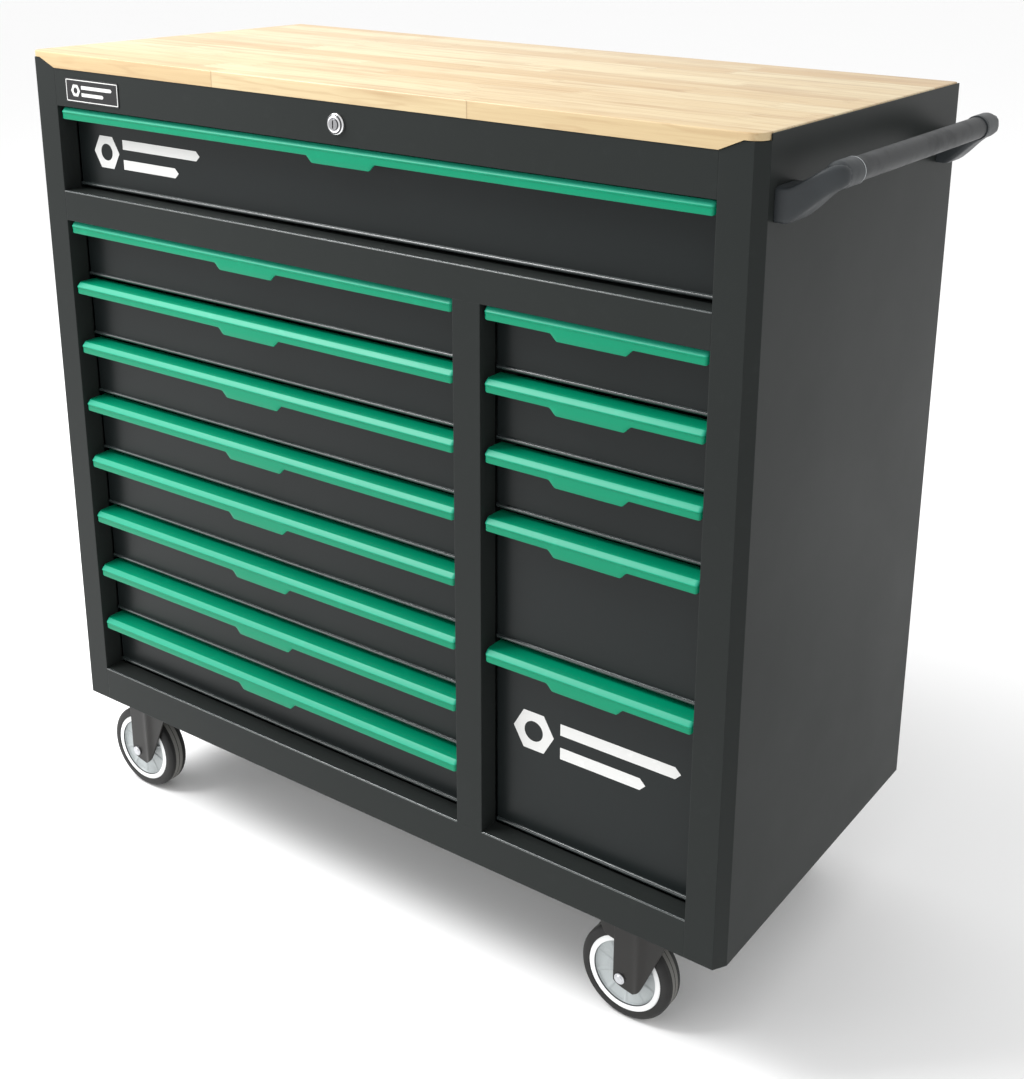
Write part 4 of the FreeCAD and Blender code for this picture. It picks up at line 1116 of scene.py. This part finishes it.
def make_badge(looks):
    """A dark plate on the top rail, with a white frame line and a small emblem."""
    lock_low, lock_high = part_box("lock_housing")
    width, height = BADGE_SIZE
    middle_z = (lock_low.z + lock_high.z) / 2 - BADGE_BELOW_LOCK
    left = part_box("side_panel_left")[0].x + BADGE_LEFT
    sides = (left, middle_z - height / 2, left + width, middle_z + height / 2)
    rail_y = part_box("face_frame")[0].y
    face_y = rail_y - BADGE_THICKNESS
    print_y = face_y - BADGE_PRINT
    mesh = bmesh.new()
    flat_shape(mesh, rounded_box(*sides, 0.0, 2.0 * MM), rail_y, BADGE_THICKNESS)
    outer = rounded_box(*sides, BADGE_MARGIN, 1.4 * MM)
    inner = rounded_box(*sides, BADGE_MARGIN + BADGE_LINE, 0.8 * MM)
    rings = []
    for (outer_x, outer_z), (inner_x, inner_z) in zip(outer, inner):
        rings.append([Vector((inner_x, print_y, inner_z)), Vector((outer_x, print_y, outer_z)),
                      Vector((outer_x, face_y, outer_z)), Vector((inner_x, face_y, inner_z))])
    skin(mesh, rings, closed=True, strips=[1] * 4)
    emblem(mesh, left + 11 * MM, middle_z, 17.0 * MM, 78.0 * MM, face_y, BADGE_PRINT, material=1)
    add_piece("badge_plate", mesh, [looks["badge_dark"], looks["print_white"]], "cabinet")


# ---------- carried-over nodes
SLIDE_WIDTH = 9.5 * MM
SLIDE_START = 14.0 * MM
DRAWER_EASE = 1.0 * MM
OTHER_EASE = 0.5 * MM


def dress_nodes(looks):
    """Gives every CAD node that still shows its material and eased edges."""
    slots = {item["node"]: item["material_slot"] for item in frame["record"]["subparts"]}
    for name, obj in frame["nodes"].items():
        obj.data.materials.clear()
        obj.data.materials.append(looks[slots[name]])
    frame["nodes"]["lock_plug"].data.materials[0] = looks["plug_steel"]
    for label in DRAWERS:
        obj = frame["nodes"]["drawer_" + label]
        obj.data.materials.append(looks["zinc"])
        low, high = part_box("drawer_" + label)
        for face in obj.data.polygons:
            beside = face.center.x < low.x + SLIDE_WIDTH or face.center.x > high.x - SLIDE_WIDTH
            if beside and face.center.y > low.y + SLIDE_START:
                face.material_index = 1
    for name, obj in frame["nodes"].items():
        if not obj.hide_render:
            ease_edges(obj, DRAWER_EASE if name.startswith("drawer_") else OTHER_EASE)


looks = make_materials()
make_camera()
make_floor()
make_studio()
for drawer_label in DRAWERS:
    make_pull(drawer_label, looks)
    make_bead(drawer_label, looks)
for caster in CORNERS:
    make_wheel(caster, looks)
    make_tyre(caster, looks)
    make_fork(caster, looks)
    make_axle_bolt(caster, looks)
make_brake_lever(looks)
make_brackets(looks)
make_grip(looks)
make_wood_top(looks)
make_rail_edges(looks)
make_lock(looks)
make_prints(looks)
make_badge(looks)
dress_nodes(looks)
